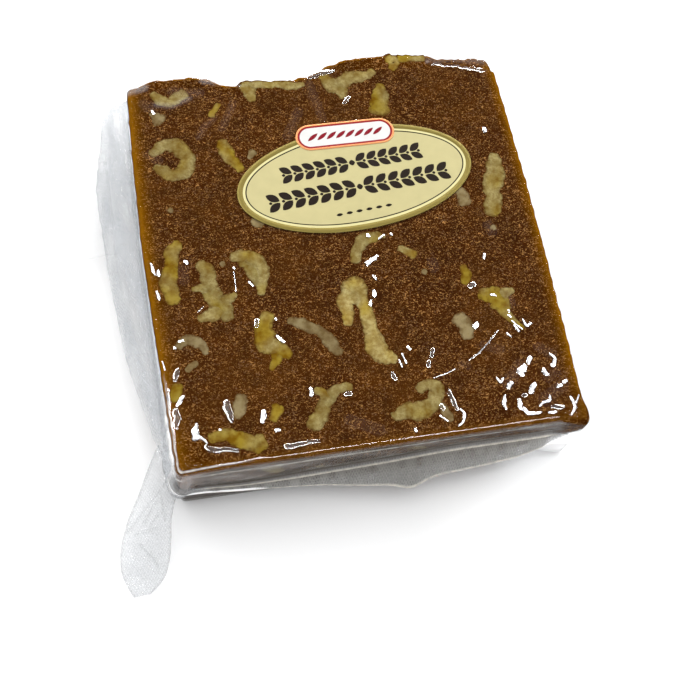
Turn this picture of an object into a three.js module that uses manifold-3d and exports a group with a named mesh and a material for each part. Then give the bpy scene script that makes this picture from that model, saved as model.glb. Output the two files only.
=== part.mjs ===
// A slab of caramel halva with walnuts, vacuum-packed in a clear pouch, with an oval sticker on top.
// Millimetres, +Z up. The origin is the middle of the slab's flat underside,
// +X runs along the slab's width and +Y along its depth, away from the near long wall.
import * as THREE from "three";
import { mergeVertices } from "three/addons/utils/BufferGeometryUtils.js";
import Module from "manifold-3d";

const wasm = await Module();
wasm.setup();

// ---- Slab: the block of halva under the film ----
const SLAB_WIDTH = 106;
const SLAB_DEPTH = 113;
const SLAB_HEIGHT = 28;
const CORNER_RADIUS = 1.9;
const TOP_EDGE_RADIUS = 1.5;
const BASE_EDGE_RADIUS = 1.2;
// The cut sides bow outwards: each by this much at its middle, fading over this length along Y.
const LEFT_BOW = { out: 2.2, fade: 55 };
const RIGHT_BOW = { out: 1.9, fade: 70 };
const BOW_MIDDLE = 15;
// The far edge is broken, not cut: each swell is [middle along X, reach past the cut line, half width].
const BROKEN_EDGE_SWELLS = [
  [-50, 1.6, 6],
  [-38, 3.9, 10],
  [18, 6.2, 17.5],
  [44, 4.5, 11],
];
const BROKEN_EDGE_START = 0.72;
// The near right corner of the slab is drawn out a little, over this share of each side.
const DRAWN_CORNER = 1.4;
const DRAWN_CORNER_SHARE = 0.1;
// That corner is also squeezed down: by a depth, past a place in X and in Y, within a span.
const SQUEEZED_CORNER = { depth: 2.2, fromX: 45, fromY: -47, span: 10, power: 1.5 };
// At the far right a crust has broken off along a sloping line, and left a ledge.
const LEDGE = { depth: 1.8, fromX: 34, fromY: 58.6, slope: 0.25, startSpan: 4, fallSpan: 1.1 };

// ---- Walnut pieces that lift the film a little: [x, y, length, width, turn in degrees] ----
const NUT_LIFT = 0.4;
const NUT_MARGIN = 1;
const NUTS = [
  [-42, 53, 10, 4, -5],
  [-47, 47, 5, 4.5, -45],
  [-45, 32, 11, 11, 0],
  [-28, 33, 9, 4.5, -65],
  [-12, 54.5, 16, 3, -4],
  [8, 54, 14, 5, 25],
  [17, 47, 12, 5.5, 75],
  [44.5, 15, 20, 5, 78],
  [35, 10, 6, 4, 90],
  [4.5, 0, 10, 4, 45],
  [-48, -2, 18, 3.2, 80],
  [-38, -8.5, 20, 5.5, -70],
  [-27, -3, 13, 5, -60],
  [-1.5, -14, 9, 7.5, 60],
  [1.2, -24, 18, 4.5, -85],
  [4, -32.5, 8, 5, -30],
  [-14, -23, 15, 3.4, -38],
  [-25.5, -24, 16, 5.5, 85],
  [-45.5, -23, 10, 3.2, -25],
  [-35.5, -41, 8, 4, 80],
  [-13.5, -44, 14, 3.6, 52],
  [-37.5, -50, 13, 5, -25],
  [11, -47, 15, 5, 25],
  [37.5, -20.5, 12, 6, -45],
  [26.5, -26, 8, 5.5, -70],
];
const RING_NUT = 2;
const RING_HOLE_SHARE = 0.36;

// ---- Pouch: two sheets of clear film that meet in a skirt half-way up the walls ----
const SKIRT_THICKNESS = 0.7;
const LEAST_SKIRT = 1.2;
// The skirt droops with a power of its reach, and its section bends at these shares of its width.
const DROOP_POWER = 1.6;
const SKIRT_BENDS = [0.62, 1];
// The fillet between wall and skirt: its size, its share of a narrow skirt, and its curve as
// shares of its size, [outwards, up or down from the skirt].
const FILLET = 1.6;
const FILLET_SHARE = 0.45;
const FILLET_CURVE = [[0.06, 1.6], [0.3, 0.5], [1, 0]];
// Skirt figures at even steps round the pouch: near side from the left corner, right, far, left.
const SKIRT_WIDTH = [
  3.0, 1.2, 2.7, 5.3, 7.4, 5.6,
  2.6, 4.6, 5.4, 5.2, 5.0, 5.4,
  5.8, 8.0, 7.6, 8.6, 9.0, 8.2,
  8.8, 11.4, 10.6, 9.6, 8.2, 4.9,
];
const SEAL_HEIGHT = [
  11.0, 10.2, 12.4, 14.9, 18.0, 19.4,
  18.4, 15.0, 13.4, 13.6, 12.8, 13.4,
  12.8, 13.6, 12.6, 13.2, 12.4, 13.4,
  13.0, 12.6, 13.4, 12.8, 12.2, 11.6,
];
const SKIRT_DROP = [
  1.5, 0.8, 3.2, 5.6, 7.6, 7.0,
  4.6, 3.0, 2.8, 3.0, 2.6, 3.0,
  3.2, 2.6, 4.0, 2.8, 4.0, 3.0,
  3.4, 4.2, 3.0, 4.0, 2.6, 1.6,
];
// Loose ends of the pouch, each spread between two edges that run outwards and down to the table:
// the edges, how high it is crowned across, and how many cells it has along and across.
const NEAR_LEFT_TAIL = {
  left: [[-57.0, -43.0, 11.6], [-59.8, -47.6, 10.0], [-63.4, -54.2, 7.4], [-67.2, -60.6, 5.0],
    [-69.7, -67.2, 3.0], [-70.1, -73.4, 1.6], [-67.8, -79.4, 0.9]],
  right: [[-52.6, -54.0, 11.6], [-54.6, -58.6, 9.4], [-55.9, -62.2, 7.2], [-56.6, -66.6, 5.0],
    [-57.6, -71.4, 3.0], [-59.6, -75.8, 1.6], [-63.4, -79.2, 0.9]],
  crown: 1.0,
  cells: [16, 8],
};
const NEAR_RIGHT_EAR = {
  left: [[52.0, -55.2, 17.4], [54.4, -58.6, 11.0], [55.6, -61.4, 4.6], [56.2, -63.6, 0.9]],
  right: [[55.0, -49.0, 16.4], [60.4, -52.6, 10.6], [67.2, -58.8, 4.2], [73.6, -65.0, 0.9]],
  crown: 0.8,
  cells: [10, 6],
};
const LEFT_FLAP = {
  left: [[-62.0, 15.0, 9.8], [-66.4, 16.2, 7.6], [-71.6, 17.6, 3.6], [-77.0, 19.4, 0.9]],
  right: [[-62.6, 46.0, 10.2], [-65.2, 46.4, 8.8], [-66.6, 46.2, 7.0], [-67.8, 45.4, 5.4]],
  crown: 0.6,
  cells: [8, 6],
};

// ---- Sticker: an oval with a raised rim, and a small round-ended plaque over its top edge ----
const STICKER_MIDDLE = [5.9, 21.5];
const STICKER_LENGTH = 68;
const STICKER_DEPTH = 33.2;
const STICKER_TURN = 5.9;
const STICKER_THICKNESS = 0.35;
const STICKER_RIM = 1.5;
const STICKER_RIM_HEIGHT = 0.5;
const PLAQUE_MIDDLE = [5.2, 35.8];
const PLAQUE_LENGTH = 28.6;
const PLAQUE_DEPTH = 8.5;
const PLAQUE_TURN = 1.2;
const PLAQUE_HEIGHT = 0.7;
const STICKER_GAP = 0.3;
const OVAL_SEGMENTS = 48;
const PLAQUE_SEGMENTS = 12;
// The film lies flat under the sticker, and may lift again over this distance past its edge.
const STICKER_MARGIN = { flat: 2, rise: 3 };

// ---- Looks in the model: colour and roughness ----
const POUCH_LOOK = { color: 0x5c3314, roughness: 0.18, metalness: 0 };
const STICKER_LOOK = { color: 0xe0d69a, roughness: 0.4, metalness: 0 };

// ---- How finely the film is faceted ----
const TOP_CELLS = 44;
const RING_POINTS = 4 * TOP_CELLS;
const MERGE_DISTANCE = 1e-4;

// A round hump: 1 in the middle, 0 a good way past the half width, flat-topped.
function swell(x, middle, halfWidth) {
  return Math.exp(-(((x - middle) / halfWidth) ** 4));
}

// How far the broken far edge stands past its cut line at x.
function brokenEdge(x) {
  const reaches = BROKEN_EDGE_SWELLS.map(([middle, reach, half]) => reach * swell(x, middle, half));
  return reaches.reduce((sum, reach) => sum + reach, 0);
}

// The plan of the slab: (u, v) from -1 to 1 fills a rectangle with round corners, drawn in by inset,
// whose sides are then bowed and whose far edge is broken.
function slabPlan(u, v, inset) {
  const halfWidth = SLAB_WIDTH / 2 - inset;
  const halfDepth = SLAB_DEPTH / 2 - inset;
  const radius = CORNER_RADIUS - inset / 2;
  let x = u * halfWidth;
  let y = v * halfDepth;
  const pastX = Math.abs(x) - (halfWidth - radius);
  const pastY = Math.abs(y) - (halfDepth - radius);
  if (pastX > 0 && pastY > 0) {
    const pull = Math.max(pastX, pastY) / Math.hypot(pastX, pastY);
    x = Math.sign(x) * (halfWidth - radius + pastX * pull);
    y = Math.sign(y) * (halfDepth - radius + pastY * pull);
  }
  const bow = u < 0 ? LEFT_BOW : RIGHT_BOW;
  const bowed = x + u * bow.out * Math.exp(-(((y - BOW_MIDDLE) / bow.fade) ** 2));
  const farShare = Math.max(0, (v - BROKEN_EDGE_START) / (1 - BROKEN_EDGE_START)) ** 2;
  const drawn = DRAWN_CORNER * swell(u, 1, DRAWN_CORNER_SHARE) * swell(v, -1, DRAWN_CORNER_SHARE);
  return [bowed + drawn, y + farShare * brokenEdge(x) - drawn];
}

// The height of the slab's top: level, but for the squeezed corner and the ledge.
function slabTop(x, y) {
  const pastX = THREE.MathUtils.clamp((x - SQUEEZED_CORNER.fromX) / SQUEEZED_CORNER.span, 0, 1);
  const pastY = THREE.MathUtils.clamp((SQUEEZED_CORNER.fromY - y) / SQUEEZED_CORNER.span, 0, 1);
  const squeezed = SQUEEZED_CORNER.depth * (pastX * pastY) ** SQUEEZED_CORNER.power;
  const along = THREE.MathUtils.clamp((x - LEDGE.fromX) / LEDGE.startSpan, 0, 1);
  const pastLine = y - LEDGE.fromY + LEDGE.slope * (x - LEDGE.fromX);
  const broken = LEDGE.depth * along * THREE.MathUtils.smoothstep(pastLine, 0, LEDGE.fallSpan);
  return SLAB_HEIGHT - squeezed - broken;
}

// The lift of the film over the walnut pieces, 0 to 1: an oval dome over each, a ring over the round one.
function nutShare(x, y) {
  let share = 0;
  NUTS.forEach(([nutX, nutY, length, width, turn], index) => {
    const angle = THREE.MathUtils.degToRad(turn);
    const along = (x - nutX) * Math.cos(angle) + (y - nutY) * Math.sin(angle);
    const across = (y - nutY) * Math.cos(angle) - (x - nutX) * Math.sin(angle);
    const from = Math.hypot(along / (length / 2 + NUT_MARGIN), across / (width / 2 + NUT_MARGIN));
    const dome = Math.max(0, 1 - from * from);
    const hollow = index === RING_NUT && from < RING_HOLE_SHARE ? from / RING_HOLE_SHARE : 1;
    share = Math.max(share, Math.sqrt(dome) * hollow);
  });
  return share;
}

// 0 under the sticker, rising to 1 a few millimetres past its edge.
function clearOfSticker(x, y) {
  const turn = THREE.MathUtils.degToRad(STICKER_TURN);
  const dx = x - STICKER_MIDDLE[0];
  const dy = y - STICKER_MIDDLE[1];
  const halfDepth = STICKER_DEPTH / 2 + STICKER_MARGIN.flat;
  const along = (dx * Math.cos(turn) + dy * Math.sin(turn)) / (STICKER_LENGTH / 2 + STICKER_MARGIN.flat);
  const across = (dy * Math.cos(turn) - dx * Math.sin(turn)) / halfDepth;
  const pastOval = (Math.hypot(along, across) - 1) * halfDepth;
  const pastX = Math.abs(x - PLAQUE_MIDDLE[0]) - PLAQUE_LENGTH / 2 - STICKER_MARGIN.flat;
  const pastY = Math.abs(y - PLAQUE_MIDDLE[1]) - PLAQUE_DEPTH / 2 - STICKER_MARGIN.flat;
  const past = Math.min(pastOval, Math.max(pastX, pastY));
  return THREE.MathUtils.clamp(past / STICKER_MARGIN.rise, 0, 1);
}

// The (u, v) of a point on the slab's edge, counted round from the near left corner.
function edgeOf(step) {
  const side = Math.floor(step / TOP_CELLS);
  const along = -1 + (2 * (step % TOP_CELLS)) / TOP_CELLS;
  return [[along, -1], [1, along], [-along, 1], [-1, -along]][side];
}

// A figure given at even steps round the pouch, smoothly joined at any step of the ring.
function roundTheRing(figures, step) {
  const place = (step / RING_POINTS) * figures.length;
  const first = Math.floor(place);
  const t = place - first;
  const at = (shift) => figures[(first + shift + figures.length) % figures.length];
  const [a, b, c, d] = [at(-1), at(0), at(1), at(2)];
  const squared = (2 * a - 5 * b + 4 * c - d) * t ** 2;
  const cubed = (3 * b - a - 3 * c + d) * t ** 3;
  return (2 * b + (c - a) * t + squared + cubed) / 2;
}

// The section of the pouch at one step round it, where the slab's top is at some height, as
// [outward from the wall, height] pairs: from the top edge, down the wall, out over the skirt,
// back under it and down to the base.
function pouchSection(step, top) {
  const width = Math.max(LEAST_SKIRT, roundTheRing(SKIRT_WIDTH, step));
  const seal = roundTheRing(SEAL_HEIGHT, step);
  const drop = roundTheRing(SKIRT_DROP, step);
  const fillet = Math.min(FILLET, width * FILLET_SHARE);
  const rounded = 1 - Math.SQRT1_2;
  const face = (side) => {
    const level = seal + (side * SKIRT_THICKNESS) / 2;
    return [
      ...FILLET_CURVE.map(([out, away]) => [out * fillet, level + side * away * fillet]),
      ...SKIRT_BENDS.map((share) => [share * width, level - drop * share ** DROOP_POWER]),
    ];
  };
  return [
    [-TOP_EDGE_RADIUS * rounded, top - TOP_EDGE_RADIUS * rounded],
    [0, top - TOP_EDGE_RADIUS],
    ...face(1),
    ...face(-1).reverse(),
    [0, BASE_EDGE_RADIUS],
    [-BASE_EDGE_RADIUS * rounded, BASE_EDGE_RADIUS * rounded],
    [-BASE_EDGE_RADIUS, 0],
  ];
}

// The closed mesh of positions and triangles, with its shared vertices merged and faces pointing out.
function closedGeometry(positions, triangles) {
  const geometry = new THREE.BufferGeometry();
  geometry.setAttribute("position", new THREE.Float32BufferAttribute(positions, 3));
  geometry.setIndex(triangles);
  return mergeVertices(geometry, MERGE_DISTANCE);
}

// The main body of the pouch: a gridded top, a ring of sections round it and a flat base.
function pouchBody() {
  const positions = [];
  const triangles = [];
  const topIndex = (i, j) => j * (TOP_CELLS + 1) + i;
  for (let j = 0; j <= TOP_CELLS; j += 1) {
    for (let i = 0; i <= TOP_CELLS; i += 1) {
      const u = -1 + (2 * i) / TOP_CELLS;
      const v = -1 + (2 * j) / TOP_CELLS;
      const [x, y] = slabPlan(u, v, TOP_EDGE_RADIUS);
      const inner = i > 0 && i < TOP_CELLS && j > 0 && j < TOP_CELLS ? 1 : 0;
      const lift = NUT_LIFT * nutShare(x, y) * clearOfSticker(x, y) * inner;
      positions.push(x, y, slabTop(x, y) + lift);
    }
  }
  for (let j = 0; j < TOP_CELLS; j += 1) {
    for (let i = 0; i < TOP_CELLS; i += 1) {
      const [a, b] = [topIndex(i, j), topIndex(i + 1, j)];
      const [d, c] = [topIndex(i, j + 1), topIndex(i + 1, j + 1)];
      triangles.push(a, b, c, a, c, d);
    }
  }
  const rim = [];
  const edge = [];
  const outwards = [];
  for (let step = 0; step < RING_POINTS; step += 1) {
    const [u, v] = edgeOf(step);
    rim.push(topIndex(Math.round(((u + 1) * TOP_CELLS) / 2), Math.round(((v + 1) * TOP_CELLS) / 2)));
    const before = slabPlan(...edgeOf((step + RING_POINTS - 2) % RING_POINTS), 0);
    const after = slabPlan(...edgeOf((step + 2) % RING_POINTS), 0);
    const run = Math.hypot(after[0] - before[0], after[1] - before[1]);
    edge.push(slabPlan(u, v, 0));
    outwards.push([(after[1] - before[1]) / run, (before[0] - after[0]) / run]);
  }
  const sections = edge.map(([x, y], step) => pouchSection(step, slabTop(x, y)));
  let inner = rim;
  for (let row = 0; row < sections[0].length; row += 1) {
    const ring = [];
    for (let step = 0; step < RING_POINTS; step += 1) {
      const [x, y] = edge[step];
      const [out, height] = sections[step][row];
      ring.push(positions.length / 3);
      positions.push(x + outwards[step][0] * out, y + outwards[step][1] * out, height);
    }
    for (let step = 0; step < RING_POINTS; step += 1) {
      const next = (step + 1) % RING_POINTS;
      triangles.push(inner[step], ring[step], ring[next], inner[step], ring[next], inner[next]);
    }
    inner = ring;
  }
  const outline = inner.map((index) => new THREE.Vector2(positions[3 * index], positions[3 * index + 1]));
  THREE.ShapeUtils.triangulateShape(outline, []).forEach(([a, b, c]) => {
    triangles.push(inner[a], inner[c], inner[b]);
  });
  return closedGeometry(positions, triangles);
}

// A loose end of film: a thin closed sheet spread between two edge curves, a little crowned across.
function looseEnd({ left, right, crown, cells: [along, across] }) {
  const curve = (points) => new THREE.CatmullRomCurve3(points.map((p) => new THREE.Vector3(...p)));
  const leftPoints = curve(left).getPoints(along);
  const rightPoints = curve(right).getPoints(along);
  const positions = [];
  const triangles = [];
  const stride = across + 1;
  const layer = stride * (along + 1);
  [1, -1].forEach((side) => {
    for (let i = 0; i <= along; i += 1) {
      for (let j = 0; j <= across; j += 1) {
        const point = leftPoints[i].clone().lerp(rightPoints[i], j / across);
        point.z += crown * Math.sin((Math.PI * j) / across) * Math.sin((Math.PI * i) / along);
        positions.push(point.x, point.y, point.z + (side * SKIRT_THICKNESS) / 2);
      }
    }
  });
  for (let i = 0; i < along; i += 1) {
    for (let j = 0; j < across; j += 1) {
      const [a, b] = [i * stride + j, (i + 1) * stride + j];
      const [d, c] = [a + 1, b + 1];
      triangles.push(a, b, c, a, c, d);
      triangles.push(layer + a, layer + c, layer + b, layer + a, layer + d, layer + c);
    }
  }
  const border = [];
  for (let i = 0; i < along; i += 1) border.push(i * stride);
  for (let j = 0; j < across; j += 1) border.push(along * stride + j);
  for (let i = along; i > 0; i -= 1) border.push(i * stride + across);
  for (let j = across; j > 0; j -= 1) border.push(j);
  border.forEach((from, index) => {
    const to = border[(index + 1) % border.length];
    triangles.push(from, layer + to, to, from, layer + from, layer + to);
  });
  return closedGeometry(positions, triangles);
}

// A manifold solid of a closed geometry, turned right side out if its volume comes out negative.
function solidOf(geometry) {
  const bare = geometry.clone();
  bare.deleteAttribute("normal");
  bare.deleteAttribute("uv");
  const merged = mergeVertices(bare, MERGE_DISTANCE);
  const vertProperties = new Float32Array(merged.attributes.position.array);
  const triVerts = new Uint32Array(merged.index.array);
  if (signedVolume(vertProperties, triVerts) < 0) {
    for (let t = 0; t < triVerts.length; t += 3) {
      [triVerts[t + 1], triVerts[t + 2]] = [triVerts[t + 2], triVerts[t + 1]];
    }
  }
  return new wasm.Manifold(new wasm.Mesh({ numProp: 3, vertProperties, triVerts }));
}

// Six times the volume that the triangles enclose, positive when they face outwards.
function signedVolume(vertices, triangles) {
  const corner = (index) => new THREE.Vector3(...vertices.slice(3 * index, 3 * index + 3));
  let volume = 0;
  for (let t = 0; t < triangles.length; t += 3) {
    const [a, b, c] = [corner(triangles[t]), corner(triangles[t + 1]), corner(triangles[t + 2])];
    volume += a.dot(b.cross(c));
  }
  return volume;
}

// The three.js geometry of a manifold solid.
function geometryOf(solid) {
  const { vertProperties, triVerts } = solid.getMesh();
  const geometry = new THREE.BufferGeometry();
  geometry.setAttribute("position", new THREE.Float32BufferAttribute(vertProperties, 3));
  geometry.setIndex(new THREE.Uint32BufferAttribute(triVerts, 1));
  geometry.computeVertexNormals();
  return geometry;
}

// The pouch with the slab in it: the body with its skirt, and the three loose ends of the film.
function pouchMesh() {
  const ends = [NEAR_LEFT_TAIL, NEAR_RIGHT_EAR, LEFT_FLAP].map(looseEnd);
  const solid = ends.reduce((joined, end) => joined.add(solidOf(end)), solidOf(pouchBody()));
  const mesh = new THREE.Mesh(geometryOf(solid), new THREE.MeshStandardMaterial(POUCH_LOOK));
  mesh.name = "pouch";
  return mesh;
}

// An oval outline of the given length and depth, as a three.js shape.
function oval(length, depth) {
  const shape = new THREE.Shape();
  shape.absellipse(0, 0, length / 2, depth / 2, 0, 2 * Math.PI, false, 0);
  return shape;
}

// A round-ended bar of the given length and depth, as a three.js shape.
function roundEndedBar(length, depth) {
  const reach = (length - depth) / 2;
  const shape = new THREE.Shape();
  shape.absarc(reach, 0, depth / 2, -Math.PI / 2, Math.PI / 2, false);
  shape.absarc(-reach, 0, depth / 2, Math.PI / 2, (3 * Math.PI) / 2, false);
  return shape;
}

// A flat piece of the sticker: a shape of some height, turned and set down at its place on the film.
function stickerPiece(shape, height, middle, turn, curveSegments) {
  const geometry = new THREE.ExtrudeGeometry(shape, { depth: height, bevelEnabled: false, curveSegments });
  geometry.rotateZ(THREE.MathUtils.degToRad(turn));
  geometry.translate(middle[0], middle[1], SLAB_HEIGHT + STICKER_GAP);
  return solidOf(geometry);
}

// The sticker: a thin oval, its raised rim, and the plaque that laps over its top edge.
function stickerMesh() {
  const rim = oval(STICKER_LENGTH, STICKER_DEPTH);
  rim.holes.push(oval(STICKER_LENGTH - 2 * STICKER_RIM, STICKER_DEPTH - 2 * STICKER_RIM));
  const field = oval(STICKER_LENGTH - STICKER_RIM, STICKER_DEPTH - STICKER_RIM);
  const plaque = roundEndedBar(PLAQUE_LENGTH, PLAQUE_DEPTH);
  const solid = stickerPiece(field, STICKER_THICKNESS, STICKER_MIDDLE, STICKER_TURN, OVAL_SEGMENTS)
    .add(stickerPiece(rim, STICKER_RIM_HEIGHT, STICKER_MIDDLE, STICKER_TURN, OVAL_SEGMENTS))
    .add(stickerPiece(plaque, PLAQUE_HEIGHT, PLAQUE_MIDDLE, PLAQUE_TURN, PLAQUE_SEGMENTS));
  const mesh = new THREE.Mesh(geometryOf(solid), new THREE.MeshStandardMaterial(STICKER_LOOK));
  mesh.name = "sticker";
  return mesh;
}

const packedHalva = new THREE.Group();
packedHalva.add(pouchMesh());
packedHalva.add(stickerMesh());

export default packedHalva;
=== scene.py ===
"""A slab of caramel halva with walnuts, vacuum-packed in clear film, with an oval sticker on top.

Lengths in the functions are millimetres and become metres where a mesh is made. The origin is the
middle of the slab's underside, +X its width, +Y its depth, +Z up.
"""

import bpy
import numpy as np
from mathutils import Matrix, Vector


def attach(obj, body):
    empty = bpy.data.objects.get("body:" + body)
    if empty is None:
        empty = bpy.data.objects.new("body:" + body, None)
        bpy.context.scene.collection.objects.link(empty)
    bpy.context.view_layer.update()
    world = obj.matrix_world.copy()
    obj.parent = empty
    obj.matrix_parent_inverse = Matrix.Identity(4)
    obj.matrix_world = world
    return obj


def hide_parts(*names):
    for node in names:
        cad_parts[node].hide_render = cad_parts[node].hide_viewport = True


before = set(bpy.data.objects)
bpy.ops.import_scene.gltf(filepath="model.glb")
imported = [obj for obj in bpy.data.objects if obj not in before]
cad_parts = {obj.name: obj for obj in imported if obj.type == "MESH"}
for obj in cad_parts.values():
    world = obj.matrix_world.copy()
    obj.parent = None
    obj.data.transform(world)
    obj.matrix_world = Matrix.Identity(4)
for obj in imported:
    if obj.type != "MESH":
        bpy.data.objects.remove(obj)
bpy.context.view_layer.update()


# ---- The slab of halva ------------------------------------------------------------------------
# Halva is sesame paste beaten into hot caramel, poured into a tray and cut when cool. Three sides
# are cut, and their edges carry a painted golden glow for the light that comes through them. The
# far side is broken.
FULL_TURN = 6.283
SLAB_SIZE = (106.0, 113.0, 28.0)
CORNER_RADIUS, TOP_RADIUS, FOOT_RADIUS = 1.9, 1.4, 1.3
# The left and the right side bow out: how far, over what reach, and round which place in Y.
BOWS, BOW_REACHES, BOW_MIDDLE = (2.2, 1.9), (55.0, 70.0), 15.0
# The far edge broke off in swells: middle, how far out, half width; and the v they start from.
BROKEN_SWELLS = ((-50, 1.6, 6), (-38, 3.9, 10), (18, 6.2, 17.5), (44, 4.5, 11))
BROKEN_START = 0.72
# The near right corner is drawn out: how far, and over what share of each half side.
DRAWN_CORNER, DRAWN_SHARE = 1.4, 0.1
# How far the halva lies under the film, on top and at the walls.
UNDER_FILM, UNDER_WALL = 0.18, 0.16
# The ledge lies past a line: x and y where that starts, its fall in y along x, and the depth.
LEDGE = (34.0, 58.6, 0.25, 1.8)
# Near corners that are squeezed down: depth, the x and y they start from, and their span.
CORNER_DROOPS = ((2.2, 45.0, -47.0, 10.0), (2.4, -40.0, -43.0, 13.5))


def share_past(value, start, span):
    """How far value is past start, as a share of span, held between 0 and 1."""
    return np.clip((value - start) / span, 0, 1)


def eased(share):
    """A share from 0 to 1 that sets out and arrives level."""
    return share**2 * (3 - 2 * share)


def swell(x, middle, half):
    """A flat-topped hump: e to the minus fourth power of the distance over the half width."""
    return np.exp(-(((x - middle) / half) ** 4))


def ripple(x, y, length, seed, waves=9):
    """Smooth random relief, about -1 to 1: added cosines of about one length, in random directions."""
    draw = np.random.default_rng(seed)
    total = np.zeros(np.broadcast(x, y).shape)
    for turn, phase, stretch in zip(draw.uniform(0, np.pi, waves), draw.uniform(0, 6.3, waves),
                                    draw.uniform(0.7, 1.5, waves)):
        total += np.cos((x * np.cos(turn) + y * np.sin(turn)) * FULL_TURN / (length * stretch) + phase)
    return total / np.sqrt(2 * waves)


def bow(left, y):
    """How far a side stands out at y: a bell curve, wider on the right than on the left."""
    reach = np.where(left, *BOW_REACHES)
    return np.where(left, *BOWS) * np.exp(-(((y - BOW_MIDDLE) / reach) ** 2))


def slab_plan(u, v, inset):
    """Plan of the slab for u and v from -1 to 1: a rectangle whose corners are pulled to quarter
    circles, with the sides bowed by a bell curve and swells pushing out the broken far edge."""
    half = np.array([SLAB_SIZE[0] / 2 - inset, SLAB_SIZE[1] / 2 - inset])
    radius = CORNER_RADIUS - min(inset, 1.5) / 2
    x, y = u * half[0], v * half[1]
    past_x, past_y = np.abs(x) - (half[0] - radius), np.abs(y) - (half[1] - radius)
    corner = (past_x > 0) & (past_y > 0)
    pull = np.where(corner, np.maximum(past_x, past_y) / np.maximum(np.hypot(past_x, past_y), 1e-9), 1)
    x = np.where(corner, np.sign(x) * (half[0] - radius + past_x * pull), x)
    y = np.where(corner, np.sign(y) * (half[1] - radius + past_y * pull), y)
    bowed = x + u * bow(u < 0, y)
    broken = sum(reach * swell(x, middle, width) for middle, reach, width in BROKEN_SWELLS)
    crumbly = 0.35 * ripple(x, y, 5, 3) + 0.18 * ripple(x, y, 1.9, 4)
    far = share_past(v, BROKEN_START, 1 - BROKEN_START) ** 2
    ragged = 0.16 * ripple(x, y, 4, 5) * share_past(np.abs(u), 0.9, 0.1)
    drawn = DRAWN_CORNER * swell(u, 1, DRAWN_SHARE) * swell(v, -1, DRAWN_SHARE)
    return bowed + drawn + np.sign(u) * ragged, y + far * (broken + crumbly) - drawn


def edge_walk(cells):
    """The u and v of each step round the edge of a grid, from the near left corner, and its place
    round the pouch in quarter sides of six parts each."""
    across, deep = (np.linspace(-1, 1, count, endpoint=False) for count in (cells[0], cells[1]))
    one = np.ones
    u = np.concatenate([across, one(cells[1]), -across, -one(cells[1])])
    v = np.concatenate([-one(cells[0]), deep, one(cells[0]), -deep])
    place = np.concatenate([3 * (side + 1) + 6 * index
                            for index, side in enumerate((across, deep, across, deep))])
    return u, v, place


def wrapped_body(cells, inset, top, section):
    """A closed block: a grid over the top, rings of (outward, height) rows round the sides, and
    rings that shrink to a point underneath. top gives a height for x and y. Returns the points,
    the faces, and the row of each point, 0 on the top and counted downwards."""
    u, v = np.meshgrid(np.linspace(-1, 1, cells[0] + 1), np.linspace(-1, 1, cells[1] + 1))
    x, y = slab_plan(u, v, inset)
    points = [np.stack([x, y, top(x, y)], -1).reshape(-1, 3)]
    number = np.arange(x.size).reshape(x.shape)
    quads = [np.stack([number[:-1, :-1], number[:-1, 1:], number[1:, 1:], number[1:, :-1]], -1)]
    rim = np.concatenate([number[0, :-1], number[:-1, -1], number[-1, :0:-1], number[:0:-1, 0]])
    edge_u, edge_v, place = edge_walk(cells)
    edge = np.stack(slab_plan(edge_u, edge_v, 0.0), -1)
    tangent = np.roll(edge, -3, 0) - np.roll(edge, 3, 0)
    outward = np.stack([tangent[:, 1], -tangent[:, 0]], -1)
    outward /= np.linalg.norm(tangent, axis=1)[:, None]
    rows = [np.zeros(x.size)]
    count = x.size
    rings = [(edge + outward * out[:, None], height) for out, height in section(place, edge)]
    last, height = rings[-1]
    centre = last.mean(0)
    rings += [(centre + (last - centre) * share, height) for share in (0.9, 0.7, 0.45, 0.2, 0.04)]
    for index, (plan, height) in enumerate(rings):
        points.append(np.column_stack([plan, height]))
        ring = count + np.arange(len(rim))
        quads.append(np.stack([rim, ring, np.roll(ring, -1), np.roll(rim, -1)], -1))
        rows.append(np.full(len(rim), index + 1.0))
        count += len(rim)
        rim = ring
    points.append(np.append(centre, height.mean())[None])
    rows.append(np.array([len(rings) + 1.0]))
    fan = [(int(a), count, int(b)) for a, b in zip(rim, np.roll(rim, -1))]
    faces = np.concatenate([q.reshape(-1, 4) for q in quads]).tolist() + fan
    return np.concatenate(points), faces, np.concatenate(rows)


def make_piece(name, points, faces, material, attributes=None, smooth=True):
    """A Blender object from points in millimetres, with its faces, material and point attributes."""
    mesh = bpy.data.meshes.new(name)
    mesh.from_pydata((np.asarray(points) * 0.001).tolist(), [], faces)
    mesh.polygons.foreach_set("use_smooth", np.full(len(mesh.polygons), smooth))
    for title, values in (attributes or {}).items():
        layer = mesh.attributes.new(title, "FLOAT", "POINT")
        layer.data.foreach_set("value", np.asarray(values, np.float32))
    mesh.materials.append(material)
    mesh.update()
    piece = bpy.data.objects.new(name, mesh)
    bpy.context.scene.collection.objects.link(piece)
    return piece


def add_node(tree, kind, sockets=None, **settings):
    """A new node in a tree. sockets maps an input to a number, a colour or the output that feeds it."""
    made = tree.nodes.new(kind)
    for title, value in settings.items():
        setattr(made, title, value)
    for socket, value in (sockets or {}).items():
        if isinstance(value, bpy.types.NodeSocket):
            tree.links.new(value, made.inputs[socket])
        else:
            made.inputs[socket].default_value = value
    return made


def new_material(name, **plain):
    """A material with one Principled shader, its plain values set, and its object coordinates."""
    material = bpy.data.materials.new(name)
    material.use_nodes = True
    tree = material.node_tree
    shader = tree.nodes["Principled BSDF"]
    for socket, value in plain.items():
        shader.inputs[socket.replace("_", " ")].default_value = value
    coords = add_node(tree, "ShaderNodeTexCoord").outputs["Object"]
    return material, tree, shader, coords


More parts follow.
